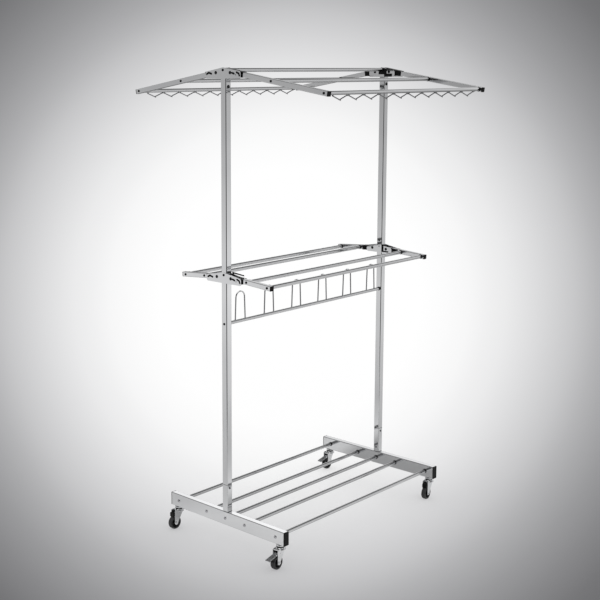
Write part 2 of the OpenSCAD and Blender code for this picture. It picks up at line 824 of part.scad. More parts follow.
// Brake pedal: a sloping plate and a shoe that turn on the pin across the fork
module pedal(i) {
    width = 2 * (leg_in - side_gap);
    tip = trail + pedal_reach;
    top = brake_z + 1;
    low = top - pedal_fall;
    shoe = trail + wheel_d / 2 + 5;
    shoe_low = axle_z + 11;
    shoe_top = top - pedal_fall * (shoe - brake_u) / (tip - brake_u) - pedal_t / 2;
    color("black") caster_place(i) difference() {
        union() {
            translate([brake_u, 0, brake_z]) across(width) circle(d = brake_hub_d);
            across(width) polygon([[brake_u, top], [tip, low], [tip, low - pedal_t], [brake_u, top - pedal_t]]);
            across(width) polygon([
                [shoe, shoe_top], [shoe, shoe_low], [shoe - 8, shoe_low], [shoe - 12, shoe_top]]);
        }
        translate([brake_u, 0, brake_z]) across(width + 2) circle(d = brake_pin_d + 2 * run_fit);
        translate([trail, 0, axle_z]) across(width + 2) circle(wheel_d / 2 + wheel_gap);
    }
}

// ---------- nodes ----------

foot(-1);  // foot_left
foot(1);  // foot_right
tube_caps();
foot_screws();
base_rods();
rod_plugs();
stubs();
joint_connectors();
upright_left();
upright_right();
upright_screws();
outer_plates();
inner_plates();
latches();
plate_screws();
pivot_pins();
centre_rod();
hoop_bar();
bar_plugs();
hoops(-1);  // hoops_left
hoops(1);  // hoops_right
top_shelf(-1, "arms");  // top_front_arms
top_shelf(-1, "rods");  // top_front_rods
top_shelf(-1, "plugs");  // top_front_plugs
top_shelf(-1, "sleeves");  // top_front_sleeves
top_shelf(-1, "screws");  // top_front_screws
top_shelf(-1, "zigzag_left");  // top_front_zigzag_left
top_shelf(-1, "zigzag_right");  // top_front_zigzag_right
top_shelf(1, "arms");  // top_back_arms
top_shelf(1, "rods");  // top_back_rods
top_shelf(1, "plugs");  // top_back_plugs
top_shelf(1, "sleeves");  // top_back_sleeves
top_shelf(1, "screws");  // top_back_screws
top_shelf(1, "zigzag_left");  // top_back_zigzag_left
top_shelf(1, "zigzag_right");  // top_back_zigzag_right
mid_shelf(-1, "arms");  // mid_front_arms
mid_shelf(-1, "rods");  // mid_front_rods
mid_shelf(-1, "plugs");  // mid_front_plugs
mid_shelf(-1, "sleeves");  // mid_front_sleeves
mid_shelf(-1, "screws");  // mid_front_screws
mid_shelf(1, "arms");  // mid_back_arms
mid_shelf(1, "rods");  // mid_back_rods
mid_shelf(1, "plugs");  // mid_back_plugs
mid_shelf(1, "sleeves");  // mid_back_sleeves
mid_shelf(1, "screws");  // mid_back_screws
caster_heads();
dust_rings();
fork(0, true);  // fork_front_left
wheel(0);  // wheel_front_left
pedal(0);  // pedal_front_left
fork(1, false);  // fork_back_left
wheel(1);  // wheel_back_left
hood(1);  // hood_back_left
fork(2, false);  // fork_front_right
wheel(2);  // wheel_front_right
hood(2);  // hood_front_right
fork(3, true);  // fork_back_right
wheel(3);  // wheel_back_right
pedal(3);  // pedal_back_right
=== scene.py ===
"""Dress and studio of the rolling drying stand.

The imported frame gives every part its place. This script gives the small parts their real
forms, such as welded wires, pressed casters and socket screws, dresses every surface, and
sets a plain studio round the stand. The frame and the studio are in metres, and the fields
and profiles of the small parts are in millimetres.
"""
import json
import logging
import math
from collections import defaultdict
from dataclasses import dataclass, field
from enum import Enum
from typing import Any, Iterable, Sequence

import bpy
from mathutils import Matrix, Vector


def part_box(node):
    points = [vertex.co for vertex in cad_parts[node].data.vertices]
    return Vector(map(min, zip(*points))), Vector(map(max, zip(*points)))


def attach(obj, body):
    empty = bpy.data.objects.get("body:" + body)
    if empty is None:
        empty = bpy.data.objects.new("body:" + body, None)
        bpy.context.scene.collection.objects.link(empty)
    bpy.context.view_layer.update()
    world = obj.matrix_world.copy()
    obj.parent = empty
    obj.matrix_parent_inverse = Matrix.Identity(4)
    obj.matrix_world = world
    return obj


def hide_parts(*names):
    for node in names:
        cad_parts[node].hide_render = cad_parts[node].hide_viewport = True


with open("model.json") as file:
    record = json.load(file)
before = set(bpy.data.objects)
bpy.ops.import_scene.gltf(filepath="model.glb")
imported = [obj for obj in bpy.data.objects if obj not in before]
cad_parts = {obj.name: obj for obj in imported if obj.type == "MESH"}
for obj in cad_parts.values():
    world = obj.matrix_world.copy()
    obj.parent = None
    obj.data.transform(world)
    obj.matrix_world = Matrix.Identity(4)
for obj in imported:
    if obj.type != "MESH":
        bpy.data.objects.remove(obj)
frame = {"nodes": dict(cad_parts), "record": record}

LOG = logging.getLogger("drying_stand")
MM = 0.001
ORIGIN = Vector((0, 0, 0))
X_AXIS = Vector((1, 0, 0))
Y_AXIS = Vector((0, 1, 0))
UP = Vector((0, 0, 1))
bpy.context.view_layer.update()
Piece = bpy.types.Object
Socket = bpy.types.NodeSocket
Stops = tuple[tuple[float, float], ...]
Profile = list[tuple[float, float]]


# ---------- measuring the frame ----------


@dataclass(frozen=True)
class Solid:
    """One solid of a CAD node, measured where it stands in the frame."""

    points: tuple[Vector, ...]
    end_share: float = 0.42

    @property
    def low(self) -> Vector:
        """Lowest corner of the box round the solid."""
        return Vector(map(min, zip(*self.points)))

    @property
    def high(self) -> Vector:
        """Highest corner of the box round the solid."""
        return Vector(map(max, zip(*self.points)))

    @property
    def middle(self) -> Vector:
        """Middle of the box round the solid."""
        return (self.low + self.high) / 2

    @property
    def size(self) -> Vector:
        """Lengths of the box round the solid."""
        return self.high - self.low

    def turning_axis(self) -> int:
        """Number of the axis that the solid is round about, across which it is as wide as high."""
        return min(range(3), key=lambda i: abs(self.size[i - 1] - self.size[i - 2]))

    def thick_end(self) -> Vector:
        """Unit direction from the solid's middle to the end that is thicker.

        Returns:
            A direction along the solid's turning axis, as towards the head of a screw.
        """
        axis, middle = self.turning_axis(), self.middle
        across = [i for i in range(3) if i != axis]
        reach = self.size[axis] * self.end_share
        girth = {}
        for way in (-1, 1):
            end = [p for p in self.points if way * (p[axis] - middle[axis]) > reach]
            girth[way] = max(math.hypot(*(p[i] - middle[i] for i in across)) for p in end)
        direction = ORIGIN.copy()
        direction[axis] = 1 if girth[1] > girth[-1] else -1
        return direction


def solids(node: str) -> list[Solid]:
    """Measures the separate solids of a CAD node.

    Args:
        node: Name of the CAD node.

    Returns:
        The node's solids, in the order of their first vertex.
    """
    mesh = frame["nodes"][node].data
    known: dict[tuple[float, ...], int] = {}
    spot = [known.setdefault(tuple(round(c, 6) for c in v.co), len(known)) for v in mesh.vertices]
    leader = list(range(len(known)))

    def find(i: int) -> int:
        """Leader of the group that point i belongs to."""
        while leader[i] != i:
            leader[i] = leader[leader[i]]
            i = leader[i]
        return i

    for face in mesh.polygons:
        first, *others = (spot[v] for v in face.vertices)
        for other in others:
            leader[find(other)] = find(first)
    groups: dict[int, list[Vector]] = defaultdict(list)
    for point, i in known.items():
        groups[find(i)].append(Vector(point))
    return [Solid(tuple(points)) for points in groups.values()]


# ---------- shaping meshes ----------


class Bench:
    """Shapes meshes with Blender's own operators, one piece at a time."""

    WELD = 0.002 * MM
    SHARP = math.radians(35)
    FLAT = math.radians(0.5)

    @staticmethod
    def clear() -> None:
        """Leaves edit mode and deselects everything."""
        if bpy.context.object is not None and bpy.context.object.mode != "OBJECT":
            bpy.ops.object.mode_set(mode="OBJECT")
        bpy.ops.object.select_all(action="DESELECT")

    @staticmethod
    def take(piece: Piece) -> None:
        """Makes a piece the only selected and the active one.

        Args:
            piece: Piece that the next operators work on.
        """
        Bench.clear()
        piece.select_set(True)
        bpy.context.view_layer.objects.active = piece

    @staticmethod
    def edit(piece: Piece) -> None:
        """Opens a piece in edit mode with all of it selected.

        Args:
            piece: Piece to open.
        """
        Bench.take(piece)
        bpy.ops.object.mode_set(mode="EDIT")
        bpy.ops.mesh.select_all(action="SELECT")

    @staticmethod
    def close() -> None:
        """Ends edit mode."""
        bpy.ops.object.mode_set(mode="OBJECT")

    @staticmethod
    def chain(name: str, points: Sequence[Vector]) -> Piece:
        """Draws a chain of edges by extruding one vertex from point to point.

        Args:
            name: Name of the new piece.
            points: Points that the chain passes, the first to the last.

        Returns:
            The piece, left in edit mode with its last vertex selected.
        """
        Bench.clear()
        bpy.ops.mesh.primitive_plane_add(size=MM)
        piece = bpy.context.object
        piece.name = name
        bpy.ops.object.mode_set(mode="EDIT")
        bpy.ops.mesh.merge(type="CENTER")
        bpy.ops.transform.translate(value=points[0])
        for start, end in zip(points, points[1:]):
            bpy.ops.mesh.extrude_region_move(TRANSFORM_OT_translate={"value": end - start})
        return piece

    @staticmethod
    def smooth(piece: Piece, angle: float = 32) -> None:
        """Shades a piece smooth across edges flatter than an angle.

        Args:
            piece: Piece to shade.
            angle: Limit of the smooth edges in degrees.
        """
        Bench.take(piece)
        bpy.ops.object.shade_smooth_by_angle(angle=math.radians(angle))

    @staticmethod
    def lathe(
        name: str, profile: Profile, steps: int, axis: Vector = UP, foot: Vector = ORIGIN
    ) -> Piece:
        """Turns a profile round an axis.

        Args:
            name: Name of the new piece.
            profile: (radius, height) pairs in millimetres, from the foot along the axis. A closed
                ring repeats its first pair at the end; a solid one starts and ends at radius 0.
            steps: Number of steps in a full turn.
            axis: Direction of the axis.
            foot: Point on the axis that heights are measured from.

        Returns:
            The turned piece, with its normals outward.
        """
        axis = axis.normalized()
        side = axis.orthogonal().normalized()
        piece = Bench.chain(name, [foot + side * (r * MM) + axis * (h * MM) for r, h in profile])
        bpy.ops.mesh.select_all(action="SELECT")
        bpy.ops.mesh.spin(steps=steps, angle=math.tau, center=foot, axis=axis)
        Bench.heal()
        Bench.close()
        Bench.smooth(piece)
        return piece

    @staticmethod
    def heal() -> None:
        """Merges doubles in the open piece and turns its faces outward."""
        bpy.ops.mesh.select_all(action="SELECT")
        bpy.ops.mesh.remove_doubles(threshold=Bench.WELD)
        bpy.ops.mesh.normals_make_consistent(inside=False)

    @staticmethod
    def ease(piece: Piece, width: float, segments: int = 2) -> Piece:
        """Rounds every sharp edge of a piece.

        Args:
            piece: Piece to work on.
            width: Width of the rounding in millimetres.
            segments: Facets over each rounding.

        Returns:
            The same piece, with the rounding applied.
        """
        Bench.take(piece)
        bpy.ops.object.shade_smooth()
        rounding = piece.modifiers.new("eased edges", "BEVEL")
        rounding.width = width * MM
        rounding.segments = segments
        rounding.limit_method = "ANGLE"
        rounding.angle_limit = Bench.SHARP
        rounding.use_clamp_overlap = True
        rounding.harden_normals = True
        bpy.ops.object.modifier_apply(modifier=rounding.name)
        return piece

    @staticmethod
    def prism(name: str, outline: Sequence[Vector], push: Vector, rounding: float) -> Piece:
        """Fills an outline, gives it thickness and rounds its edges.

        Args:
            name: Name of the new piece.
            outline: Corners of the outline, in order and in one plane.
            push: Direction and depth of the thickness.
            rounding: Width of the rounding in millimetres.

        Returns:
            The finished block.
        """
        piece = Bench.chain(name, outline)
        bpy.ops.mesh.select_all(action="SELECT")
        bpy.ops.mesh.edge_face_add()
        bpy.ops.mesh.extrude_region_move(TRANSFORM_OT_translate={"value": push})
        Bench.heal()
        Bench.close()
        return Bench.ease(piece, rounding)

    @staticmethod
    def block(name: str, middle: Vector, size: Vector, rounding: float) -> Piece:
        """Makes a small block with rounded edges.

        Args:
            name: Name of the new piece.
            middle: Middle of the block.
            size: Lengths of the block.
            rounding: Width of the rounding in millimetres.

        Returns:
            The finished block.
        """
        Bench.clear()
        bpy.ops.mesh.primitive_cube_add(size=1)
        piece = bpy.context.object
        piece.name = name
        bpy.ops.object.mode_set(mode="EDIT")
        bpy.ops.transform.resize(value=size)
        bpy.ops.transform.translate(value=middle)
        Bench.close()
        return Bench.ease(piece, rounding)

    @staticmethod
    def cut(piece: Piece, cutter: Piece) -> None:
        """Cuts one piece out of another and removes the cutter.

        Args:
            piece: Piece that stays.
            cutter: Piece whose shape is taken away.
        """
        Bench.take(piece)
        cutting = piece.modifiers.new("cut", "BOOLEAN")
        cutting.operation = "DIFFERENCE"
        cutting.solver = "EXACT"
        cutting.object = cutter
        bpy.ops.object.modifier_apply(modifier=cutting.name)
        bpy.data.objects.remove(cutter)

    @staticmethod
    def copy(piece: Piece, place: Matrix) -> Piece:
        """Copies a piece with its own mesh and moves the copy.

        Args:
            piece: Piece to copy.
            place: Move and turn of the copy.

        Returns:
            The copy, its place in its mesh.
        """
        Bench.take(piece)
        bpy.ops.object.duplicate()
        twin = bpy.context.object
        twin.matrix_world = place
        bpy.ops.object.transform_apply(location=True, rotation=True, scale=True)
        return twin

    @staticmethod
    def join(name: str, pieces: Sequence[Piece]) -> Piece:
        """Joins pieces into one under a new name.

        Args:
            name: Name of the joined piece.
            pieces: Pieces to join, one or more.

        Returns:
            The joined piece.
        """
        Bench.take(pieces[0])
        for piece in pieces:
            piece.select_set(True)
        if len(pieces) > 1:
            bpy.ops.object.join()
        whole = bpy.context.object
        whole.name = whole.data.name = name
        return whole

    @staticmethod
    def drop(*pieces: Piece) -> None:
        """Removes master pieces that were only copied from."""
        for piece in pieces:
            bpy.data.objects.remove(piece)

    @staticmethod
    def eased_twin(node: str, name: str, width: float) -> Piece:
        """Makes a copy of a CAD node whose edges are rounded as on the real part.

        Args:
            node: CAD node to copy.
            name: Name of the new piece.
            width: Width of the rounding in millimetres.

        Returns:
            The copy, whole-faced and eased.
        """
        piece = bpy.data.objects.new(name, frame["nodes"][node].data.copy())
        bpy.context.scene.collection.objects.link(piece)
        Bench.take(piece)
        bpy.ops.mesh.customdata_custom_splitnormals_clear()
        Bench.edit(piece)
        bpy.ops.mesh.remove_doubles(threshold=Bench.WELD)
        bpy.ops.mesh.mark_sharp(clear=True)
        bpy.ops.mesh.dissolve_limited(angle_limit=Bench.FLAT)
        Bench.close()
        return Bench.ease(piece, width)


# ---------- finishes ----------


class Slot(Enum):
    """Material slots of the record."""

    CHROME = "chrome"
    PLASTIC = "black_plastic"
    SCREW = "screw_steel"
    PIN = "pin_steel"
    CASTER = "caster_steel"
    RUBBER = "wheel_rubber"


class Run(Enum):
    """Direction that a tube was drawn and polished along, with the stretch of its marks."""

    ACROSS = (9.0, 420.0, 420.0)
    DEEP = (420.0, 9.0, 420.0)
    UPRIGHT = (420.0, 420.0, 9.0)
    ALL_ROUND = (160.0, 160.0, 160.0)


class Wiring:
    """Lays and links the shader nodes of one node tree."""

    def __init__(self, tree: bpy.types.NodeTree) -> None:
        """Takes a tree and empties it."""
        self.tree = tree
        tree.nodes.clear()

    def add(self, kind: str, inputs: dict[str | int, Any] | None = None, **settings: Any) -> bpy.types.Node:
        """Adds a node.

        Args:
            kind: Type of the node, without its ShaderNode prefix.
            inputs: Values or sockets for its inputs, by name or number.
            **settings: Attributes of the node.

        Returns:
            The new node.
        """
        node = self.tree.nodes.new(kind if kind.startswith("Node") else "ShaderNode" + kind)
        for key, value in settings.items():
            setattr(node, key, value)
        for key, value in (inputs or {}).items():
            if isinstance(value, Socket):
                self.tree.links.new(value, node.inputs[key])
            else:
                node.inputs[key].default_value = value
        return node

    def group(self, tree: bpy.types.NodeTree, **inputs: Any) -> bpy.types.NodeOutputs:
        """Adds a shared node group with its own values, and gives its outputs."""
        return self.add("Group", inputs, node_tree=tree).outputs

    def shader(self, kind: str, **inputs: Any) -> Socket:
        """Adds a node whose inputs are known by one word, and gives its first output."""
        return self.add(kind, inputs).outputs[0]

    def math(self, operation: str, *values: Any) -> Socket:
        """Works out a value from numbers or sockets."""
        return self.add("Math", dict(enumerate(values)), operation=operation).outputs[0]

    def vector(self, operation: str, *values: Any) -> Socket:
        """Works out a vector from vectors or sockets."""
        return self.add("VectorMath", dict(enumerate(values)), operation=operation).outputs["Vector"]

    def dot(self, first: Any, second: Any) -> Socket:
        """Works out how far one vector reaches along another."""
        return self.add("VectorMath", {0: first, 1: second}, operation="DOT_PRODUCT").outputs["Value"]

    def share(self, value: Socket, low: float, high: float) -> Socket:
        """Turns a value between two limits into a share from 0 to 1."""
        return self.add("MapRange", {"Value": value, "From Min": low, "From Max": high}).outputs[0]

    def between(self, share: Socket, first: Any, second: Any) -> Socket:
        """Gives the value at a share of the way from the first to the second."""
        return self.add("MapRange", {"Value": share, "To Min": first, "To Max": second}).outputs[0]

    def mix(self, share: Any, first: Socket, second: Socket) -> Socket:
        """Mixes two shaders by a share from 0, the first, to 1, the second."""
        return self.add("MixShader", {0: share, 1: first, 2: second}).outputs[0]


def new_group(
    name: str, inputs: Iterable[tuple[str, str]], outputs: Iterable[tuple[str, str]]
) -> tuple[bpy.types.NodeTree, Wiring, bpy.types.Node]:
    """Starts a shader node group.

    Args:
        name: Name of the group.
        inputs: Names and kinds of its input sockets.
        outputs: Names and kinds of its output sockets.

    Returns:
        The tree, its wiring and the node that gives the group's inputs.
    """
    tree = bpy.data.node_groups.new(name, "ShaderNodeTree")
    for way, sockets in (("INPUT", inputs), ("OUTPUT", outputs)):
        for label, kind in sockets:
            tree.interface.new_socket(name=label, in_out=way, socket_type="NodeSocket" + kind)
    wiring = Wiring(tree)
    return tree, wiring, wiring.add("NodeGroupInput")


def drawn_grain() -> bpy.types.NodeTree:
    """Builds the marks that drawing and polishing leave along a tube.

    Returns:
        The node group that gives their height and haze.
    """
    tree, wiring, given = new_group(
        "Drawn Grain",
        [("Vector", "Vector"), ("Stretch", "Vector")],
        [("Height", "Float"), ("Haze", "Float")],
    )
    lines = wiring.vector("MULTIPLY", given.outputs["Vector"], given.outputs["Stretch"])
    marks = wiring.add("TexNoise", {"Vector": lines, "Scale": 1.0, "Detail": 3.0})
    clouds = wiring.add("TexNoise", {"Vector": given.outputs["Vector"], "Scale": 7.0, "Detail": 2.0})
    haze = wiring.share(clouds.outputs["Fac"], 0.35, 0.68)
    wiring.add("NodeGroupOutput", {"Height": marks.outputs["Fac"], "Haze": haze})
    return tree


def moulded_grain() -> bpy.types.NodeTree:
    """Builds the fine pitted skin of moulded plastic and rubber.

    Returns:
        The node group that gives its height and shade.
    """
    tree, wiring, given = new_group(
        "Moulded Grain",
        [("Vector", "Vector"), ("Grain", "Float")],
        [("Height", "Float"), ("Shade", "Float")],
    )
    pits = wiring.add(
        "TexVoronoi",
        {"Vector": given.outputs["Vector"], "Scale": given.outputs["Grain"]},
        feature="SMOOTH_F1",
    )
    flow = wiring.add("TexNoise", {"Vector": given.outputs["Vector"], "Scale": 34.0, "Detail": 3.0})
    wiring.add("NodeGroupOutput", {"Height": pits.outputs["Distance"], "Shade": flow.outputs["Fac"]})
    return tree


def handling_wear() -> bpy.types.NodeTree:
    """Builds the scuffs and dust of use.

    Returns:
        The node group that gives them as a mask from 0, clean, to 1.
    """
    tree, wiring, given = new_group(
        "Handling Wear", [("Vector", "Vector"), ("Spread", "Float")], [("Mask", "Float")]
    )
    scuffs = wiring.add(
        "TexNoise", {"Vector": given.outputs["Vector"], "Scale": given.outputs["Spread"], "Detail": 6.0}
    )
    wiring.add("NodeGroupOutput", {"Mask": wiring.share(scuffs.outputs["Fac"], 0.52, 0.74)})
    return tree


GROUPS = {"grain": drawn_grain(), "skin": moulded_grain(), "wear": handling_wear()}


@dataclass(frozen=True)
class Steel:
    """Bright metal that keeps faint marks of drawing and a little haze."""

    name: str
    bright: tuple[float, float, float]
    dull: tuple[float, float, float]
    roughness: tuple[float, float]
    run: Run = Run.ALL_ROUND
    bump: float = 0.02
    depth: float = 0.3
    spread: float = 55.0

    def build(self) -> bpy.types.Material:
        """Builds the material.

        Returns:
            The finished material.
        """
        material, wiring, place = new_material(self.name)
        grain = wiring.group(GROUPS["grain"], Vector=place, Stretch=self.run.value)
        wear = wiring.group(GROUPS["wear"], Vector=place, Spread=self.spread)
        tone = mix_colours(wiring, grain["Haze"], self.bright, self.dull)
        sheen = wiring.between(wear["Mask"], *self.roughness)
        marks = wiring.shader("Bump", Height=grain["Height"], Strength=self.bump, Distance=self.depth * MM)
        surface = {"Base Color": tone, "Metallic": 1.0, "Roughness": sheen, "Normal": marks}
        wiring.add("OutputMaterial", {"Surface": wiring.add("BsdfPrincipled", surface).outputs[0]})
        return material


def mix_colours(wiring: Wiring, factor: Socket, first: Sequence[float], second: Sequence[float]) -> Socket:
    """Mixes two colours by a mask.

    Args:
        wiring: Tree to work in.
        factor: Mask from 0, the first colour, to 1, the second.
        first: Red, green and blue of the first colour.
        second: Red, green and blue of the second colour.

    Returns:
        The socket that gives the mixed colour.
    """
    blend = wiring.add("ValToRGB", {"Fac": factor})
    blend.color_ramp.elements[0].color = (*first, 1)
    blend.color_ramp.elements[1].color = (*second, 1)
    return blend.outputs["Color"]


def grey_ramp(wiring: Wiring, value: Socket, low: float, high: float, stops: Stops) -> Socket:
    """Turns a value into a grey level by a row of stops.

    Args:
        wiring: Tree to work in.
        value: Value that the level follows.
        low: Value at the ramp's start.
        high: Value at the ramp's end.
        stops: (value, level) pairs in rising order.

    Returns:
        The socket that gives the level.
    """
    ramp = wiring.add("ValToRGB", {"Fac": wiring.share(value, low, high)})
    elements = ramp.color_ramp.elements
    elements.remove(elements[-1])
    for i, (spot, level) in enumerate(stops):
        element = elements[0] if i == 0 else elements.new((spot - low) / (high - low))
        element.position = (spot - low) / (high - low)
        element.color = (level, level, level, 1)
    return ramp.outputs["Color"]


def new_material(name: str) -> tuple[bpy.types.Material, Wiring, Socket]:
    """Starts a material.

    Args:
        name: Name of the material.

    Returns:
        The material, the wiring of its tree and the socket that gives the place on the piece.
    """
    material = bpy.data.materials.new(name)
    material.use_nodes = True
    wiring = Wiring(material.node_tree)
    return material, wiring, wiring.add("TexCoord").outputs["Object"]


@dataclass(frozen=True)
class Moulded:
    """Moulded black plastic or rubber with a fine skin, and dust where it is handled."""

    name: str
    clean: tuple[float, float, float]
    dusty: tuple[float, float, float]
    roughness: tuple[float, float]
    grain: float = 1400.0
    bump: float = 0.08
    depth: float = 0.2
    spread: float = 70.0
    specular: float = 0.5

    def build(self) -> bpy.types.Material:
        """Builds the material.

        Returns:
            The finished material.
        """
        material, wiring, place = new_material(self.name)
        skin = wiring.group(GROUPS["skin"], Vector=place, Grain=self.grain)
        wear = wiring.group(GROUPS["wear"], Vector=place, Spread=self.spread)
        tone = mix_colours(wiring, wear["Mask"], self.clean, self.dusty)
        sheen = wiring.between(skin["Shade"], *self.roughness)
        pits = wiring.shader("Bump", Height=skin["Height"], Strength=self.bump, Distance=self.depth * MM)
        surface = {
            "Base Color": tone, "Roughness": sheen, "Normal": pits, "Specular IOR Level": self.specular,
        }
        wiring.add("OutputMaterial", {"Surface": wiring.add("BsdfPrincipled", surface).outputs[0]})
        return material


class Wardrobe:
    """Holds the built finishes and dresses pieces and CAD nodes in them."""

    BRIGHT = (0.83, 0.835, 0.845)
    DULL = (0.78, 0.785, 0.80)

    def __init__(self) -> None:
        """Builds every finish once, chrome once for each direction of drawing, and darker copies of chrome
        and of screw steel whose darkness is painted shade.
        """
        self.chrome = {
            run: Steel(f"chrome_{run.name.lower()}", self.BRIGHT, self.DULL, (0.035, 0.09), run).build()
            for run in Run
        }
        # Painted shade: a darker copy of the chrome for the zigzag wires, whose slot is chrome like the
        # rods.
        self.wire = Steel("chrome_wire", (0.34, 0.34, 0.35), (0.26, 0.26, 0.27), (0.10, 0.20)).build()
        # Painted shade: a darker copy of screw steel for the screws that show dark, beside the bright foot
        # screws.
        self.screw_painted_shade = Steel("screw_painted_shade", (0.07, 0.07, 0.073), (0.04, 0.04, 0.043), (0.18, 0.32)).build()
        others = {
            Slot.PLASTIC: Moulded(
                "black_plastic", (0.003, 0.003, 0.0033), (0.007, 0.007, 0.0075), (0.38, 0.52), specular=0.16
            ),
            Slot.SCREW: Steel("screw_steel", (0.66, 0.66, 0.68), (0.52, 0.52, 0.54), (0.06, 0.14)),
            Slot.PIN: Steel("pin_steel", (0.05, 0.05, 0.053), (0.03, 0.03, 0.033), (0.28, 0.42)),
            Slot.CASTER: Steel(
                "caster_steel", (0.84, 0.845, 0.855), (0.74, 0.75, 0.77), (0.06, 0.15), bump=0.04
            ),
            Slot.RUBBER: Moulded(
                "wheel_rubber", (0.030, 0.030, 0.032), (0.055, 0.054, 0.053), (0.55, 0.75), grain=900.0,
                bump=0.15, spread=45.0,
            ),
        }
        self.built = {slot: finish.build() for slot, finish in others.items()}

    def cloth_for(self, slot: Slot, run: Run) -> bpy.types.Material:
        """Finish for a slot, and for chrome in the direction that it was drawn."""
        return self.chrome[run] if slot is Slot.CHROME else self.built[slot]

    def dress(
        self, piece: Piece, slot: Slot, body: str, nodes: Sequence[str] = (), run: Run = Run.ALL_ROUND,
        cloth: bpy.types.Material | None = None,
    ) -> Piece:
        """Gives a new piece its finish, its body and the CAD nodes that it stands for.

        Args:
            piece: Finished piece, its place in its mesh.
            slot: Material slot of the record.
            body: CAD body that it rides on.
            nodes: CAD nodes that it replaces.
            run: Direction of the marks in chrome.
            cloth: Finish that takes the place of the slot's usual one.

        Returns:
            The same piece.
        """
        piece.data.materials.clear()
        piece.data.materials.append(cloth or self.cloth_for(slot, run))
        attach(piece, body)
        if nodes:
            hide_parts(*nodes)
        LOG.info("%s rides on %s in %s", piece.name, body, slot.value)
        return piece

    def dress_frame(self) -> None:
        """Gives every CAD node that still shows its finish."""
        runs = (
            ("upright_", Run.UPRIGHT), ("stubs", Run.UPRIGHT), ("foot_", Run.DEEP), ("_arms", Run.DEEP),
            ("_plates", Run.DEEP), ("_rod", Run.ACROSS), ("hoop_bar", Run.ACROSS),
        )
        for name, node in frame["nodes"].items():
            run = next((way for part, way in runs if part in name), Run.ALL_ROUND)
            for holder in node.material_slots:
                slot = Slot(holder.material.name.split(".")[0])
                holder.material = self.cloth_for(slot, run)


# ---------- the stand's small parts ----------


def body_of(node: str) -> str:
    """Name of the CAD body that a node rides on."""
    bodies = frame["record"]["behaviour"]["bodies"]
    return next(body for body, members in bodies.items() if node in members)


def facing(at: Vector, direction: Vector) -> Matrix:
    """Place at a point for a piece made along +Z that is to point in a direction."""
    return Matrix.Translation(at) @ direction.to_track_quat("Z", "Y").to_matrix().to_4x4()


@dataclass
class EasedParts:
    """Moulded and pressed parts whose solids are right and whose edges are rounded."""

    wardrobe: Wardrobe
    moulded: float = 0.7
    pressed: float = 0.35
    hood: float = 1.0

    def build(self) -> None:
        """Builds an eased copy of each moulded or pressed node."""
        for node in frame["nodes"]:
            body = body_of(node)
            if node.endswith(("_plugs", "_sleeves", "_caps", "_connectors", "latches")):
                piece = Bench.eased_twin(node, f"{node}_eased", self.moulded)
                self.wardrobe.dress(piece, Slot.PLASTIC, body, [node])
            elif node.endswith("_plates"):
                piece = Bench.eased_twin(node, f"{node}_pressed", self.pressed)
                self.wardrobe.dress(piece, Slot.CHROME, body, [node], Run.DEEP)
            elif node.startswith("hood_"):
                piece = Bench.eased_twin(node, f"{node}_moulded", self.hood)
                self.wardrobe.dress(piece, Slot.PLASTIC, body, [node])


@dataclass
class SocketScrews:
    """Domed screws with a hexagon socket, put where the frame's plain ones are."""

    wardrobe: Wardrobe
    head_d: float = 9.0
    head_h: float = 3.0
    shank_d: float = 5.0
    shank_l: float = 6.0
    socket_d: float = 4.6
    socket_depth: float = 1.5

    def master(self) -> Piece:
        """Models one screw along +Z, the seat of its head at the origin.

        Returns:
            The screw, its shank below the origin.
        """
        head, shank = self.head_d / 2, self.shank_d / 2
        profile = [
            (0, -self.shank_l), (shank - 0.5, -self.shank_l), (shank, -self.shank_l + 0.5), (shank, 0),
            (head, 0), (head, 0.5), (head * 0.96, 1.1), (head * 0.85, 1.85), (head * 0.68, 2.45),
            (head * 0.45, 2.85), (0, self.head_h),
        ]
        screw = Bench.lathe("screw_master", profile, 32)
        Bench.clear()
        bpy.ops.mesh.primitive_cylinder_add(
            vertices=6, radius=self.socket_d / 2 * MM, depth=2 * self.socket_depth * MM,
            location=(0, 0, self.head_h * MM),
        )
        Bench.cut(screw, bpy.context.object)
        Bench.smooth(screw, 24)
        return screw

    def build(self) -> None:
        """Copies the screw to every screw of the frame, each at its own head size."""
        master = self.master()
        for node in [n for n in frame["nodes"] if n.endswith("_screws")]:
            screws = []
            for solid in solids(node):
                out = solid.thick_end()
                axis = solid.turning_axis()
                girth = max(solid.size[axis - 1], solid.size[axis - 2]) / (self.head_d * MM)
                seat = solid.middle + out * (solid.size[axis] / 2 - self.head_h * MM)
                screws.append(Bench.copy(master, facing(seat, out) @ Matrix.Diagonal((girth, girth, 1, 1))))
            slot = Slot.PIN if node == "plate_screws" else Slot.SCREW
            # Painted shade: screws other than the foot and plate screws take the darker copy of screw steel.
            cloth = None if node in ("foot_screws", "plate_screws") else self.wardrobe.screw_painted_shade
            screw_row = Bench.join(f"{node}_domed", screws)
            self.wardrobe.dress(screw_row, slot, body_of(node), [node], cloth=cloth)
        Bench.drop(master)


@dataclass
class PivotRivets:
    """Riveted pins with a low dome at both ends."""

    wardrobe: Wardrobe
    pin_d: float = 8.0
    head_d: float = 12.0
    head_t: float = 1.5

    def build(self) -> None:
        """Models one rivet and copies it to every pivot."""
        places = solids("pivot_pins")
        length, pin, head = places[0].size.x / MM, self.pin_d / 2, self.head_d / 2
        end = [
            (0, 0), (1.6, 0.02), (1.9, 0.3), (2.3, 0.3), (2.6, 0.1), (head - 1.1, 0.3), (head - 0.3, 0.8),
            (head, self.head_t), (pin, self.head_t),
        ]
        profile = end + [(r, length - h) for r, h in reversed(end)]
        master = Bench.lathe("rivet_master", profile, 32, X_AXIS)
        rivets = [
            Bench.copy(master, Matrix.Translation((place.low.x, place.middle.y, place.middle.z)))
            for place in places
        ]
        self.wardrobe.dress(Bench.join("pivot_rivets", rivets), Slot.PIN, "base", ["pivot_pins"])
        Bench.drop(master)


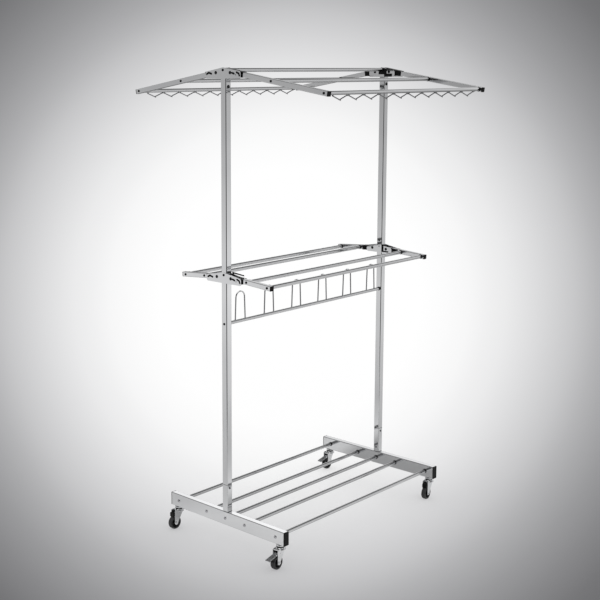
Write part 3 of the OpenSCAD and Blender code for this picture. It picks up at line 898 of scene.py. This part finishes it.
@dataclass
class NotchWires:
    """Zigzag wires bent from round wire and welded under the end rods."""

    wardrobe: Wardrobe
    wire_d: float = 4.8
    depth: float = 15.0
    bend_r: float = 4.0
    notches: int = 5
    sink: float = 0.35
    facets: int = 12
    bead: tuple[float, float, float] = (4.6, 3.3, 1.7)
    bead_rise: float = 0.42
    merge: float = 0.01

    def unit(self, pitch: float, depth: float) -> Piece:
        """Bends one notch, from the middle of one top bend to the next.

        Args:
            pitch: Distance of the notches in millimetres.
            depth: Depth of a notch between wire centres in millimetres.

        Returns:
            The notch in the plane y = 0, its top bends at z = 0.
        """
        lean = math.atan2(depth, pitch / 2)
        radius = self.bend_r
        leg = math.hypot(pitch / 2, depth) - 2 * radius * math.tan(lean / 2)
        drop = radius / math.cos(lean) - radius
        Bench.clear()
        bpy.ops.mesh.primitive_circle_add(
            vertices=self.facets, radius=self.wire_d / 2 * MM, rotation=(0, math.pi / 2, 0),
            location=(0, 0, -drop * MM),
        )
        wire = bpy.context.object
        wire.name = "notch_master"
        bpy.ops.object.transform_apply(location=True, rotation=True, scale=True)
        bpy.ops.object.mode_set(mode="EDIT")
        bpy.ops.mesh.select_all(action="SELECT")
        step = Vector((math.cos(lean), 0, -math.sin(lean))) * (leg * MM)
        top = Vector((0, 0, -(drop + radius) * MM))
        bpy.ops.mesh.spin(steps=3, angle=lean, center=top, axis=Y_AXIS)
        bpy.ops.mesh.extrude_region_move(TRANSFORM_OT_translate={"value": step})
        dip = Vector((pitch / 2 * MM, 0, (-depth + drop + radius) * MM))
        bpy.ops.mesh.spin(steps=6, angle=-2 * lean, center=dip, axis=Y_AXIS)
        step.z = -step.z
        bpy.ops.mesh.extrude_region_move(TRANSFORM_OT_translate={"value": step})
        top.x += pitch * MM
        bpy.ops.mesh.spin(steps=3, angle=lean, center=top, axis=Y_AXIS)
        Bench.heal()
        Bench.close()
        return wire

    def beads(self, pitch: float) -> list[Piece]:
        """Models the weld beads where the top bends meet the rod.

        Args:
            pitch: Distance of the notches in millimetres.

        Returns:
            One bead for each top bend.
        """
        Bench.clear()
        bpy.ops.mesh.primitive_uv_sphere_add(segments=16, ring_count=8, radius=MM)
        bead = bpy.context.object
        bpy.ops.object.mode_set(mode="EDIT")
        bpy.ops.transform.resize(value=self.bead)
        bpy.ops.transform.translate(value=(0, 0, self.wire_d * self.bead_rise * MM))
        Bench.close()
        places = (Matrix.Translation((i * pitch * MM, 0, 0)) for i in range(self.notches + 1))
        made = [Bench.copy(bead, place) for place in places]
        Bench.drop(bead)
        return made

    def repeat(self, wire: Piece, pitch: float) -> None:
        """Repeats one notch to the length of a half wire and closes its ends.

        Args:
            wire: The notch, which becomes the half wire.
            pitch: Distance of the notches in millimetres.
        """
        Bench.take(wire)
        row = wire.modifiers.new("row", "ARRAY")
        row.count = self.notches
        row.use_relative_offset = False
        row.use_constant_offset = True
        row.constant_offset_displace = (pitch * MM, 0, 0)
        row.use_merge_vertices = True
        row.merge_threshold = self.merge * MM
        bpy.ops.object.modifier_apply(modifier=row.name)
        Bench.edit(wire)
        bpy.ops.mesh.select_all(action="DESELECT")
        bpy.ops.mesh.select_non_manifold(extend=False)
        bpy.ops.mesh.fill_holes(sides=0)
        Bench.heal()
        Bench.close()

    def build(self) -> None:
        """Builds the four half wires."""
        for node in [n for n in frame["nodes"] if "zigzag" in n]:
            low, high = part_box(node)
            pitch = (high.x - low.x) / self.notches / MM
            depth = (high.z - low.z) / MM - self.wire_d / math.cos(math.atan2(self.depth, pitch / 2))
            wire = self.unit(pitch, depth)
            self.repeat(wire, pitch)
            whole = Bench.join(f"{node}_wire", [wire, *self.beads(pitch)])
            at = Vector((low.x, (low.y + high.y) / 2, high.z - (self.wire_d / 2 - self.sink) * MM))
            placed = Bench.copy(whole, Matrix.Translation(at))
            Bench.drop(whole)
            placed.name = f"{node}_wire"
            Bench.smooth(placed, 40)
            # The wires take the darker chrome, a painted shade, in place of the plain chrome.
            self.wardrobe.dress(placed, Slot.CHROME, body_of(node), [node], cloth=self.wardrobe.wire)


@dataclass
class HoopWelds:
    """Weld collars where the hoops enter their bar."""

    wardrobe: Wardrobe
    wire_d: float = 5.0
    collar: float = 1.6
    rise: float = 1.8

    def build(self) -> None:
        """Models one collar and copies it to each foot of each hoop."""
        radius = self.wire_d / 2
        bore, foot = radius - 0.6, -2.0
        profile = [
            (bore, foot), (radius + self.collar, foot), (radius + self.collar, -0.9),
            (radius + self.collar * 0.6, 0.1), (radius + self.collar * 0.25, self.rise * 0.55),
            (radius + 0.02, self.rise), (bore, self.rise), (bore, foot),
        ]
        master = Bench.lathe("collar_master", profile, 24)
        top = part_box("hoop_bar")[1].z
        collars = []
        for node in ("hoops_left", "hoops_right"):
            for solid in solids(node):
                for way in (-1, 1):
                    wire = solid.middle.x + way * (solid.size.x / 2 - radius * MM)
                    collars.append(Bench.copy(master, Matrix.Translation((wire, 0, top))))
        self.wardrobe.dress(Bench.join("hoop_weld_collars", collars), Slot.CHROME, "base")
        Bench.drop(master)


# ---------- casters ----------


class Corner(Enum):
    """Casters, each with its heading in degrees and whether it carries a brake."""

    FRONT_LEFT = (184, True)
    BACK_LEFT = (176, False)
    FRONT_RIGHT = (186, False)
    BACK_RIGHT = (182, True)

    @property
    def label(self) -> str:
        """Name of the corner as the frame's nodes have it."""
        return self.name.lower()

    @property
    def heading(self) -> float:
        """Direction that the caster trails in, as an angle from +X in radians."""
        return math.radians(self.value[0])

    @property
    def braked(self) -> bool:
        """Whether the caster carries a brake pedal."""
        return self.value[1]


@dataclass
class Casters:
    """Swivel casters of pressed steel with rubber tyres, sized in millimetres."""

    wardrobe: Wardrobe
    axle_z: float = 25.0
    trail: float = 22.0
    leg_in: float = 10.3
    leg_end_r: float = 8.0
    fork_t: float = 2.0
    crown_low: float = 66.0
    crown_high: float = 75.0
    brake_u: float = 14.0
    brake_z: float = 57.0
    pedal_back: float = 20.0
    pedal_tip: float = 74.0
    pedal_fall: float = 11.0
    tread_t: float = 1.2
    shoe_round: float = 0.6
    ribs: int = 6
    rib_at: tuple[float, float] = (11.7, 5.1)
    rib_size: tuple[float, float, float] = (8.4, 1.6, 1.5)
    grips: int = 4
    grip_size: tuple[float, float] = (1.6, 1.0)
    grip_in: float = 2.5
    grip_pitch: float = 4.0
    nut_d: float = 11.0
    nut_t: float = 3.4
    nut_out: float = 1.3

    def spot(self, u: float, v: float, z: float) -> Vector:
        """Point in a caster's own frame, given in millimetres."""
        return Vector((u, v, z)) * MM

    def on_axle(self, name: str, profile: Profile, steps: int, u: float, z: float) -> Piece:
        """Turns a profile round an axis across the caster.

        Args:
            name: Name of the new piece.
            profile: (radius, height) pairs in millimetres, from the middle of the caster outward.
            steps: Number of steps in a full turn.
            u: Distance of the axis from the swivel axis.
            z: Height of the axis.

        Returns:
            The turned piece.
        """
        return Bench.lathe(name, profile, steps, Y_AXIS, self.spot(u, 0, z))

    def ring(self, name: str, half: Profile, steps: int) -> Piece:
        """Turns a ring round the wheel's axle from one half of its closed profile."""
        profile = half + [(r, -h) for r, h in reversed(half)] + [half[0]]
        return self.on_axle(name, profile, steps, self.trail, self.axle_z)

    def tyre(self) -> Piece:
        """Models the rubber tyre with its mould line and round shoulders.

        Returns:
            The tyre, on the axle of a caster that stands at the origin.
        """
        half = [
            (17.4, 5.6), (18.2, 7.6), (19.0, 8.7), (19.8, 9.0), (22.2, 9.0), (23.5, 8.5), (24.5, 7.2),
            (25.0, 5.4), (25.0, 0.9), (24.7, 0.6),
        ]
        return self.ring("tyre_master", half, 72)

    def hub(self) -> Piece:
        """Models the moulded hub with its bearing boss and ribs.

        Returns:
            The hub, on the axle of a caster that stands at the origin.
        """
        half = [
            (3.05, 9.9), (6.6, 9.9), (7.4, 9.2), (7.5, 5.6), (8.2, 4.9), (15.2, 4.6), (15.8, 5.6),
            (16.4, 6.6), (17.5, 6.8),
        ]
        parts = [self.ring("hub_master", half, 48)]
        centre = Matrix.Translation(self.spot(self.trail, 0, self.axle_z))
        out, side = self.rib_at
        for way in (-1, 1):
            rib = Bench.block("rib", self.spot(out, way * side, 0), self.spot(*self.rib_size), 0.3)
            for i in range(self.ribs):
                parts.append(Bench.copy(rib, centre @ Matrix.Rotation(i * math.tau / self.ribs, 4, "Y")))
            Bench.drop(rib)
        return Bench.join("hub_master", parts)

    def leg(self, way: int) -> Piece:
        """Models one pressed leg of the fork.

        Args:
            way: Side of the leg, -1 or 1.

        Returns:
            The leg, from the crown down to its round end at the axle.
        """
        outline = [
            (29.6, 50), (29.2, 68), (28.2, 71.6), (25.6, 73.6), (22, 74), (-8.6, 74), (-10.4, 73.2),
            (-11.6, 70.4), (-10.6, 67.6), (-3.2, 55.6), (5.0, 41.6), (11.2, 30.4),
        ]
        for turn in range(-180, 1, 15):
            angle = math.radians(turn)
            reach, rise = self.leg_end_r * math.cos(angle), self.leg_end_r * math.sin(angle)
            outline.append((self.trail + reach, self.axle_z + rise))
        corners = [self.spot(u, way * self.leg_in, z) for u, z in outline]
        return Bench.prism("leg", corners, self.spot(0, way * self.fork_t, 0), 0.6)

    def crown(self) -> Piece:
        """Models the domed crown with its rolled lower lip and race groove.

        Returns:
            The crown, round the swivel axis.
        """
        low, high = self.crown_low, self.crown_high
        profile = [
            (4.1, low), (17.6, low), (18.6, low + 0.2), (19.0, low + 0.8), (19.0, low + 2.2),
            (18.7, low + 3.6), (17.9, low + 5.2), (16.7, low + 6.8), (15.2, low + 8.1), (13.9, high - 0.1),
            (13.0, high), (12.6, high), (12.2, high - 0.5), (9.4, high - 0.5), (9.0, high), (4.1, high),
            (4.1, low),
        ]
        return Bench.lathe("crown", profile, 56)

    def axle(self) -> list[Piece]:
        """Models the axle bolt with its domed head, and its nut.

        Returns:
            The bolt's head, its shank and the nut.
        """
        out = self.leg_in + self.fork_t
        dome = [
            (0, -out + 1), (6.3, -out + 1), (6.3, -out - 0.6), (5.5, -out - 0.8), (5.5, -out - 1.5),
            (4.9, -out - 2.4), (3.4, -out - 2.9), (0, -out - 3.0),
        ]
        shank = [(0, -out), (3, -out), (3, out + 3.4), (2.4, out + 4.0), (0, out + 4.0)]
        bolt = [
            self.on_axle("bolt", dome, 32, self.trail, self.axle_z),
            self.on_axle("shaft", shank, 24, self.trail, self.axle_z),
        ]
        Bench.clear()
        bpy.ops.mesh.primitive_cylinder_add(
            vertices=6, radius=self.nut_d / 2 * MM, depth=self.nut_t * MM, rotation=(math.pi / 2, 0, 0)
        )
        nut = bpy.context.object
        nut.location = self.spot(self.trail, out + self.nut_out, self.axle_z)
        bpy.ops.object.transform_apply(location=True, rotation=True, scale=True)
        return [*bolt, Bench.ease(nut, 0.45)]

    def brake_rivet(self) -> Piece:
        """Models the pin that the pedal turns on.

        Returns:
            The pin, with a head outside each leg.
        """
        out = self.leg_in + self.fork_t
        end = [(0, out + 1.0), (1.8, out + 1.0), (2.7, out + 0.6), (3.0, out), (2.0, out)]
        profile = end + [(r, -h) for r, h in reversed(end)]
        return self.on_axle("brake_rivet", profile, 24, self.brake_u, self.brake_z)

    def fork(self, braked: bool) -> Piece:
        """Joins legs, crown, axle and, on a braked caster, the pedal's pin.

        Args:
            braked: Whether the caster carries a brake pedal.

        Returns:
            The fork of a caster that stands at the origin.
        """
        parts = [self.leg(-1), self.leg(1), self.crown(), *self.axle()]
        if braked:
            parts.append(self.brake_rivet())
        return Bench.join("fork_master", parts)

    def pedal_top(self, u: float) -> float:
        """Height of the pedal's sloping top at a distance from the swivel axis."""
        return self.brake_z + 1 - self.pedal_fall * (u - self.brake_u) / (self.pedal_tip - self.brake_u)

    def pedal_plate(self) -> Piece:
        """Models the pedal's steel tread with its turned-down lip and grip ribs.

        Returns:
            The tread of a caster that stands at the origin.
        """
        back, tip, thick = self.pedal_back, self.pedal_tip, self.tread_t
        half = self.leg_in - 0.3
        ends = [
            (back, 0), (tip - thick, 0), (tip - 0.3, -0.3), (tip, -1.1), (tip, -4.0), (tip - thick, -4.0),
            (tip - thick, -thick), (back, -thick),
        ]
        corners = [self.spot(u, -half, self.pedal_top(u) + z) for u, z in ends]
        parts = [Bench.prism("tread", corners, self.spot(0, 2 * half, 0), 0.3)]
        length, height = self.grip_size
        grip = Bench.block("grip", ORIGIN, self.spot(length, 2 * (half - self.grip_in), height), 0.35)
        slope = Matrix.Rotation(math.atan2(self.pedal_fall, tip - self.brake_u), 4, "Y")
        for i in range(self.grips):
            u = tip - 5 - self.grip_pitch * i
            seat = self.spot(u, 0, self.pedal_top(u) + 0.1)
            parts.append(Bench.copy(grip, Matrix.Translation(seat) @ slope))
        Bench.drop(grip)
        return Bench.join("pedal_plate_master", parts)

    def lower_top(self, shoe: Piece, place: Matrix) -> None:
        """Cuts the shoe along the underside of the steel tread that lies on it.

        Args:
            shoe: Shoe of the pedal, its place in its mesh.
            place: Place of its caster.
        """
        start, end, over, side = self.brake_u + 7, self.pedal_tip + 2, 9, 20
        seats = [(start, -self.tread_t), (end, -self.tread_t), (end, over), (start, over)]
        corners = [place @ self.spot(u, -side, self.pedal_top(u) + z) for u, z in seats]
        push = place.to_3x3() @ self.spot(0, 2 * side, 0)
        Bench.cut(shoe, Bench.prism("cutter", corners, push, 0.01))

    def place(self, corner: Corner) -> Matrix:
        """Finds a caster's place from its wheel in the frame.

        Args:
            corner: Corner of the stand.

        Returns:
            The place of its swivel axis on the floor, turned to its heading.
        """
        low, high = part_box(f"wheel_{corner.label}")
        turn = Matrix.Rotation(corner.heading, 4, "Z")
        swivel = (low + high) / 2 - turn @ self.spot(self.trail, 0, 0)
        return Matrix.Translation((swivel.x, swivel.y, 0)) @ turn

    def heads(self) -> None:
        """Models the fixed heads in the feet and the dust rings under them."""
        head = [
            (0, 63.7), (5.4, 63.7), (6.6, 63.95), (7.0, 64.7), (6.6, 65.45), (5.4, 65.7), (4.0, 65.7),
            (4.0, 79.0), (13.9, 79.0), (14.7, 79.3), (15.0, 80.0), (15.0, 83.6), (14.5, 84.6), (13.4, 85.0),
            (5.0, 85.0), (5.0, 96.5), (4.5, 97.0), (0, 97.0),
        ]
        ring = [
            (4.1, 75.3), (12.8, 75.3), (13.7, 75.6), (14.0, 76.3), (13.9, 77.4), (13.3, 78.4), (12.4, 78.95),
            (4.1, 79.0), (4.1, 75.3),
        ]
        for profile, name, slot, node in (
            (head, "caster_heads_turned", Slot.CASTER, "caster_heads"),
            (ring, "dust_rings_moulded", Slot.PLASTIC, "dust_rings"),
        ):
            master = Bench.lathe("head_master", profile, 48)
            made = [Bench.copy(master, self.place(corner)) for corner in Corner]
            self.wardrobe.dress(Bench.join(name, made), slot, "base", [node])
            Bench.drop(master)

    def build(self) -> None:
        """Builds the four casters, one master of each part and its copies."""
        tyre, hub, plate = self.tyre(), self.hub(), self.pedal_plate()
        forks = {braked: self.fork(braked) for braked in (False, True)}
        for corner in Corner:
            place, label = self.place(corner), corner.label
            wheel, fork, pedal = (f"{body}_{label}" for body in ("wheel", "fork", "pedal"))
            plan = [
                (tyre, f"tyre_{label}", Slot.RUBBER, wheel, [wheel]),
                (hub, f"hub_{label}", Slot.PLASTIC, wheel, []),
                (forks[corner.braked], f"{fork}_pressed", Slot.CASTER, fork, [fork]),
            ]
            if corner.braked:
                plan.append((plate, f"pedal_plate_{label}", Slot.CASTER, pedal, []))
                shoe = Bench.eased_twin(pedal, f"pedal_shoe_{label}", self.shoe_round)
                self.lower_top(shoe, place)
                self.wardrobe.dress(shoe, Slot.PLASTIC, pedal, [pedal])
            for master, name, slot, body, nodes in plan:
                piece = Bench.copy(master, place)
                piece.name = piece.data.name = name
                self.wardrobe.dress(piece, slot, body, nodes)
        Bench.drop(tyre, hub, plate, *forks.values())
        self.heads()


# ---------- studio ----------


@dataclass(frozen=True)
class Viewpoint:
    """Fixed eye of the studio.

    Its place is in metres, its angles are in degrees, and its focus and shift are shares of
    the width of the view.
    """

    place: tuple[float, float, float] = (-3.282, -2.731, 1.716)
    azimuth: float = -45.57
    elevation: float = 8.56
    roll: float = -0.29
    focus: float = 1.88167
    shift: tuple[float, float] = (0.13567, -0.09567)
    sensor: float = 36.0

    def axes(self) -> tuple[Vector, Vector, Vector]:
        """Works out the turn of the eye.

        Returns:
            Its right, up and forward directions.
        """
        a, e, r = (math.radians(v) for v in (self.azimuth, self.elevation, self.roll))
        forward = -Vector((math.sin(a) * math.cos(e), -math.cos(a) * math.cos(e), math.sin(e)))
        right = forward.cross(UP).normalized()
        up = right.cross(forward)
        return right * math.cos(r) + up * math.sin(r), up * math.cos(r) - right * math.sin(r), forward

    def camera(self) -> None:
        """Sets the scene's camera at the eye."""
        right, up, forward = self.axes()
        turn = Matrix((right, up, -forward)).transposed().to_4x4()
        Bench.clear()
        bpy.ops.object.camera_add()
        camera = bpy.context.object
        camera.name = "studio_camera"
        camera.matrix_world = Matrix.Translation(self.place) @ turn
        camera.data.sensor_width = self.sensor
        camera.data.lens = self.sensor * self.focus
        camera.data.shift_x, camera.data.shift_y = self.shift
        camera.data.clip_end = 100
        bpy.context.scene.camera = camera


@dataclass(frozen=True)
class Room:
    """Light of the room round the stand, as brightness against height of view.

    Heights are sines of the angle above the horizon. The wall ahead of the eye holds a long
    lamp over a dark base, the side walls glow low down, and the wall behind the eye is dark.
    The reaches are the limits, along the way ahead, between which one wall takes over.
    """

    ahead: tuple[float, float, float] = (0.77, 0.64, 0.0)
    wall_ahead: Stops = (
        (-1.0, 0.22), (-0.1, 0.22), (0.0, 0.28), (0.2, 0.42), (0.29, 0.7), (0.34, 0.95), (0.38, 1.1),
        (0.44, 1.0), (0.52, 0.3), (0.6, 0.12), (0.85, 0.12), (0.93, 1.3), (1.0, 1.3),
    )
    wall_aside: Stops = (
        (-1.0, 0.25), (-0.7, 0.25), (-0.5, 0.36), (-0.36, 0.56), (-0.3, 0.6), (-0.19, 0.8), (-0.1, 0.6),
        (-0.03, 0.48), (0.2, 0.45), (0.38, 0.5), (0.5, 0.2), (0.7, 0.12), (0.85, 0.12), (0.93, 1.3),
        (1.0, 1.3),
    )
    wall_behind: Stops = ((-1.0, 0.12), (-0.3, 0.03), (0.6, 0.02), (0.85, 0.05), (0.93, 1.3), (1.0, 1.3))
    reach_ahead: tuple[float, float] = (0.1, 0.55)
    reach_behind: tuple[float, float] = (-0.28, -0.52)
    lean: float = 0.6

    def build(self) -> bpy.types.NodeTree:
        """Builds the room's light as a colour over directions.

        Returns:
            The node group that gives the light from a direction.
        """
        tree, wiring, given = new_group("Studio Room", [("Vector", "Vector")], [("Color", "Color")])
        height = wiring.add("SeparateXYZ", {0: given.outputs[0]}).outputs["Z"]
        along = wiring.dot(given.outputs[0], self.ahead)
        tilt = wiring.math("MULTIPLY_ADD", along, self.lean, 1.0)
        light = wiring.math("MULTIPLY", grey_ramp(wiring, height, -1.0, 1.0, self.wall_aside), tilt)
        for stops, reach in ((self.wall_ahead, self.reach_ahead), (self.wall_behind, self.reach_behind)):
            wall = grey_ramp(wiring, height, -1.0, 1.0, stops)
            light = wiring.between(wiring.share(along, *reach), light, wall)
        wiring.add("NodeGroupOutput", {"Color": light})
        return tree


@dataclass
class Studio:
    """Floor and backdrop painted with a pool of light, bright in the middle and darker round it, with soft
    light.
    """

    eye: Viewpoint = field(default_factory=Viewpoint)
    room: Room = field(default_factory=Room)
    glow: tuple[float, float] = (0.119, -0.09067)
    # Painted pool of light: grey level of the backdrop against distance from its bright middle.
    falloff: Stops = (
        (0.0, 1.0), (0.215, 1.0), (0.26, 0.97), (0.3, 0.93), (0.33, 0.874), (0.36, 0.83), (0.41, 0.72),
        (0.475, 0.571), (0.515, 0.462), (0.545, 0.397), (0.585, 0.323), (0.635, 0.25), (0.69, 0.184),
        (0.72, 0.165), (0.8, 0.26), (0.9, 0.42), (1.0, 0.55),
    )
    outside: tuple[float, float] = (0.85, 0.5)
    surround: float = 0.6
    cool: float = 0.04
    ambient: float = 0.95
    sun: float = 0.2
    sun_spread: float = 80.0
    sun_side: tuple[float, float, float] = (-0.35, -0.5, 1.0)
    # Share of the floor's painted colour that glows as painted light, softening the stand's shadow.
    floor_glow: float = 0.55
    floor_radius: float = 9.0
    floor_grey: float = 0.6
    footprint: tuple[float, float, float] = (0.62, 0.42, 1.0)
    # Painted shade of the floor in reflections: dark under the stand, lighter in a ring round it, grey
    # further off, by distance in footprints.
    floor_shade: Stops = (
        (0.0, 0.42), (0.75, 0.42), (0.95, 0.7), (1.15, 0.72), (1.5, 0.6), (2.0, 0.54), (4.0, 0.6),
    )
    floor_reach: tuple[float, float] = (2.0, 4.0)

    def backdrop(self) -> bpy.types.NodeTree:
        """Builds the backdrop's painted pool of light, its round falloff, as a colour over directions from
        the eye.

        Returns:
            The node group that gives the colour in a direction.
        """
        tree, wiring, given = new_group("Backdrop Falloff", [("Vector", "Vector")], [("Color", "Color")])
        way = wiring.vector("NORMALIZE", given.outputs[0])
        right, up, forward = self.eye.axes()
        reach = wiring.dot(way, forward)
        ahead = wiring.math("MAXIMUM", reach, 0.05)
        squares = []
        for axis, offset in ((right, self.glow[0]), (up, self.glow[1])):
            ratio = wiring.math("DIVIDE", wiring.dot(way, axis), ahead)
            side = wiring.math("MULTIPLY_ADD", ratio, self.eye.focus, -offset)
            squares.append(wiring.math("MULTIPLY", side, side))
        distance = wiring.math("SQRT", wiring.math("ADD", *squares))
        grey = grey_ramp(wiring, distance, 0.0, 1.0, self.falloff)
        level = wiring.between(wiring.share(reach, *self.outside), grey, self.surround)
        blue = wiring.math("MULTIPLY_ADD", level, wiring.between(level, self.cool, 0.0), level)
        colour = wiring.add("CombineColor", {0: level, 1: level, 2: blue})
        wiring.add("NodeGroupOutput", {"Color": colour.outputs[0]})
        return tree

    def world(self, backdrop: bpy.types.NodeTree) -> None:
        """Sets the world: backdrop before the camera, room in reflections, else even light.

        Args:
            backdrop: Node group of the backdrop's colour.
        """
        world = bpy.data.worlds.new("studio")
        world.use_nodes = True
        bpy.context.scene.world = world
        wiring = Wiring(world.node_tree)
        way = wiring.add("TexCoord").outputs["Generated"]
        seen = wiring.shader("Background", Color=wiring.group(backdrop, Vector=way)[0])
        mirrored = wiring.shader("Background", Color=wiring.group(self.room.build(), Vector=way)[0])
        even = wiring.shader("Background", Color=(1, 1, 1, 1), Strength=self.ambient)
        wiring.add("OutputWorld", {"Surface": self.by_ray(wiring, seen, mirrored, even)})

    def floor(self, backdrop: bpy.types.NodeTree) -> None:
        """Lays the floor, which takes the stand's soft shadow. Its colour is a painted pool of light, and
        part of it glows as painted light that softens the shadow.

        Args:
            backdrop: Node group of the backdrop's colour.
        """
        Bench.clear()
        bpy.ops.mesh.primitive_circle_add(vertices=96, radius=self.floor_radius, fill_type="NGON")
        floor = bpy.context.object
        floor.name = "studio_floor"
        material, wiring, place = new_material("studio_floor")
        # Painted pool of light: the floor takes the backdrop's falloff as seen from the fixed eye, bright
        # round the stand and darker further off.
        colour = wiring.group(backdrop, Vector=wiring.vector("SUBTRACT", place, self.eye.place))[0]
        lit, glowing = (wiring.shader(kind, Color=colour) for kind in ("BsdfDiffuse", "Emission"))
        # Painted light: the floor glows with part of its painted colour, which makes the stand's shadow on
        # it softer.
        seen = wiring.mix(self.floor_glow, lit, glowing)
        # Painted shadow in reflections: the floor is painted darker under the stand and lighter round it,
        # and turns clear to the room's light further off.
        shares = wiring.vector("DIVIDE", place, self.footprint)
        distance = wiring.add("VectorMath", {0: shares}, operation="LENGTH").outputs["Value"]
        shade = grey_ramp(wiring, distance, 0.0, self.floor_shade[-1][0], self.floor_shade)
        near, clear = wiring.shader("BsdfDiffuse", Color=shade), wiring.shader("BsdfTransparent")
        mirrored = wiring.mix(wiring.share(distance, *self.floor_reach), near, clear)
        plain = wiring.shader("BsdfDiffuse", Color=(*[self.floor_grey] * 3, 1))
        wiring.add("OutputMaterial", {"Surface": self.by_ray(wiring, seen, mirrored, plain)})
        floor.data.materials.append(material)

    @staticmethod
    def by_ray(wiring: Wiring, seen: Socket, mirrored: Socket, other: Socket) -> Socket:
        """Shows one of three shaders by the kind of ray that meets it.

        Args:
            wiring: Tree to work in.
            seen: Shader for the camera.
            mirrored: Shader for reflections.
            other: Shader for the rest of the light.

        Returns:
            The socket that gives the mixed shader.
        """
        ray = wiring.add("LightPath").outputs
        return wiring.mix(ray["Is Camera Ray"], wiring.mix(ray["Is Glossy Ray"], other, mirrored), seen)

    def lamp(self) -> None:
        """Hangs the broad soft lamp that gives the shadow its side."""
        Bench.clear()
        bpy.ops.object.light_add(type="SUN")
        lamp = bpy.context.object
        lamp.name = "soft_sun"
        lamp.data.energy = self.sun
        lamp.data.angle = math.radians(self.sun_spread)
        lamp.rotation_euler = Vector(self.sun_side).to_track_quat("Z", "Y").to_euler()

    def build(self) -> None:
        """Sets up the whole studio."""
        backdrop = self.backdrop()
        self.world(backdrop)
        self.floor(backdrop)
        self.lamp()
        self.eye.camera()
        bpy.context.scene.view_settings.view_transform = "Standard"


def main() -> None:
    """Dresses the stand and sets its studio."""
    logging.basicConfig(level=logging.INFO, format="%(message)s")
    wardrobe = Wardrobe()
    wardrobe.dress_frame()
    for assembly in (EasedParts, SocketScrews, PivotRivets, NotchWires, HoopWelds, Casters):
        assembly(wardrobe).build()
        LOG.info("built %s", assembly.__name__)
    Studio().build()


if __name__ == "__main__":
    main()
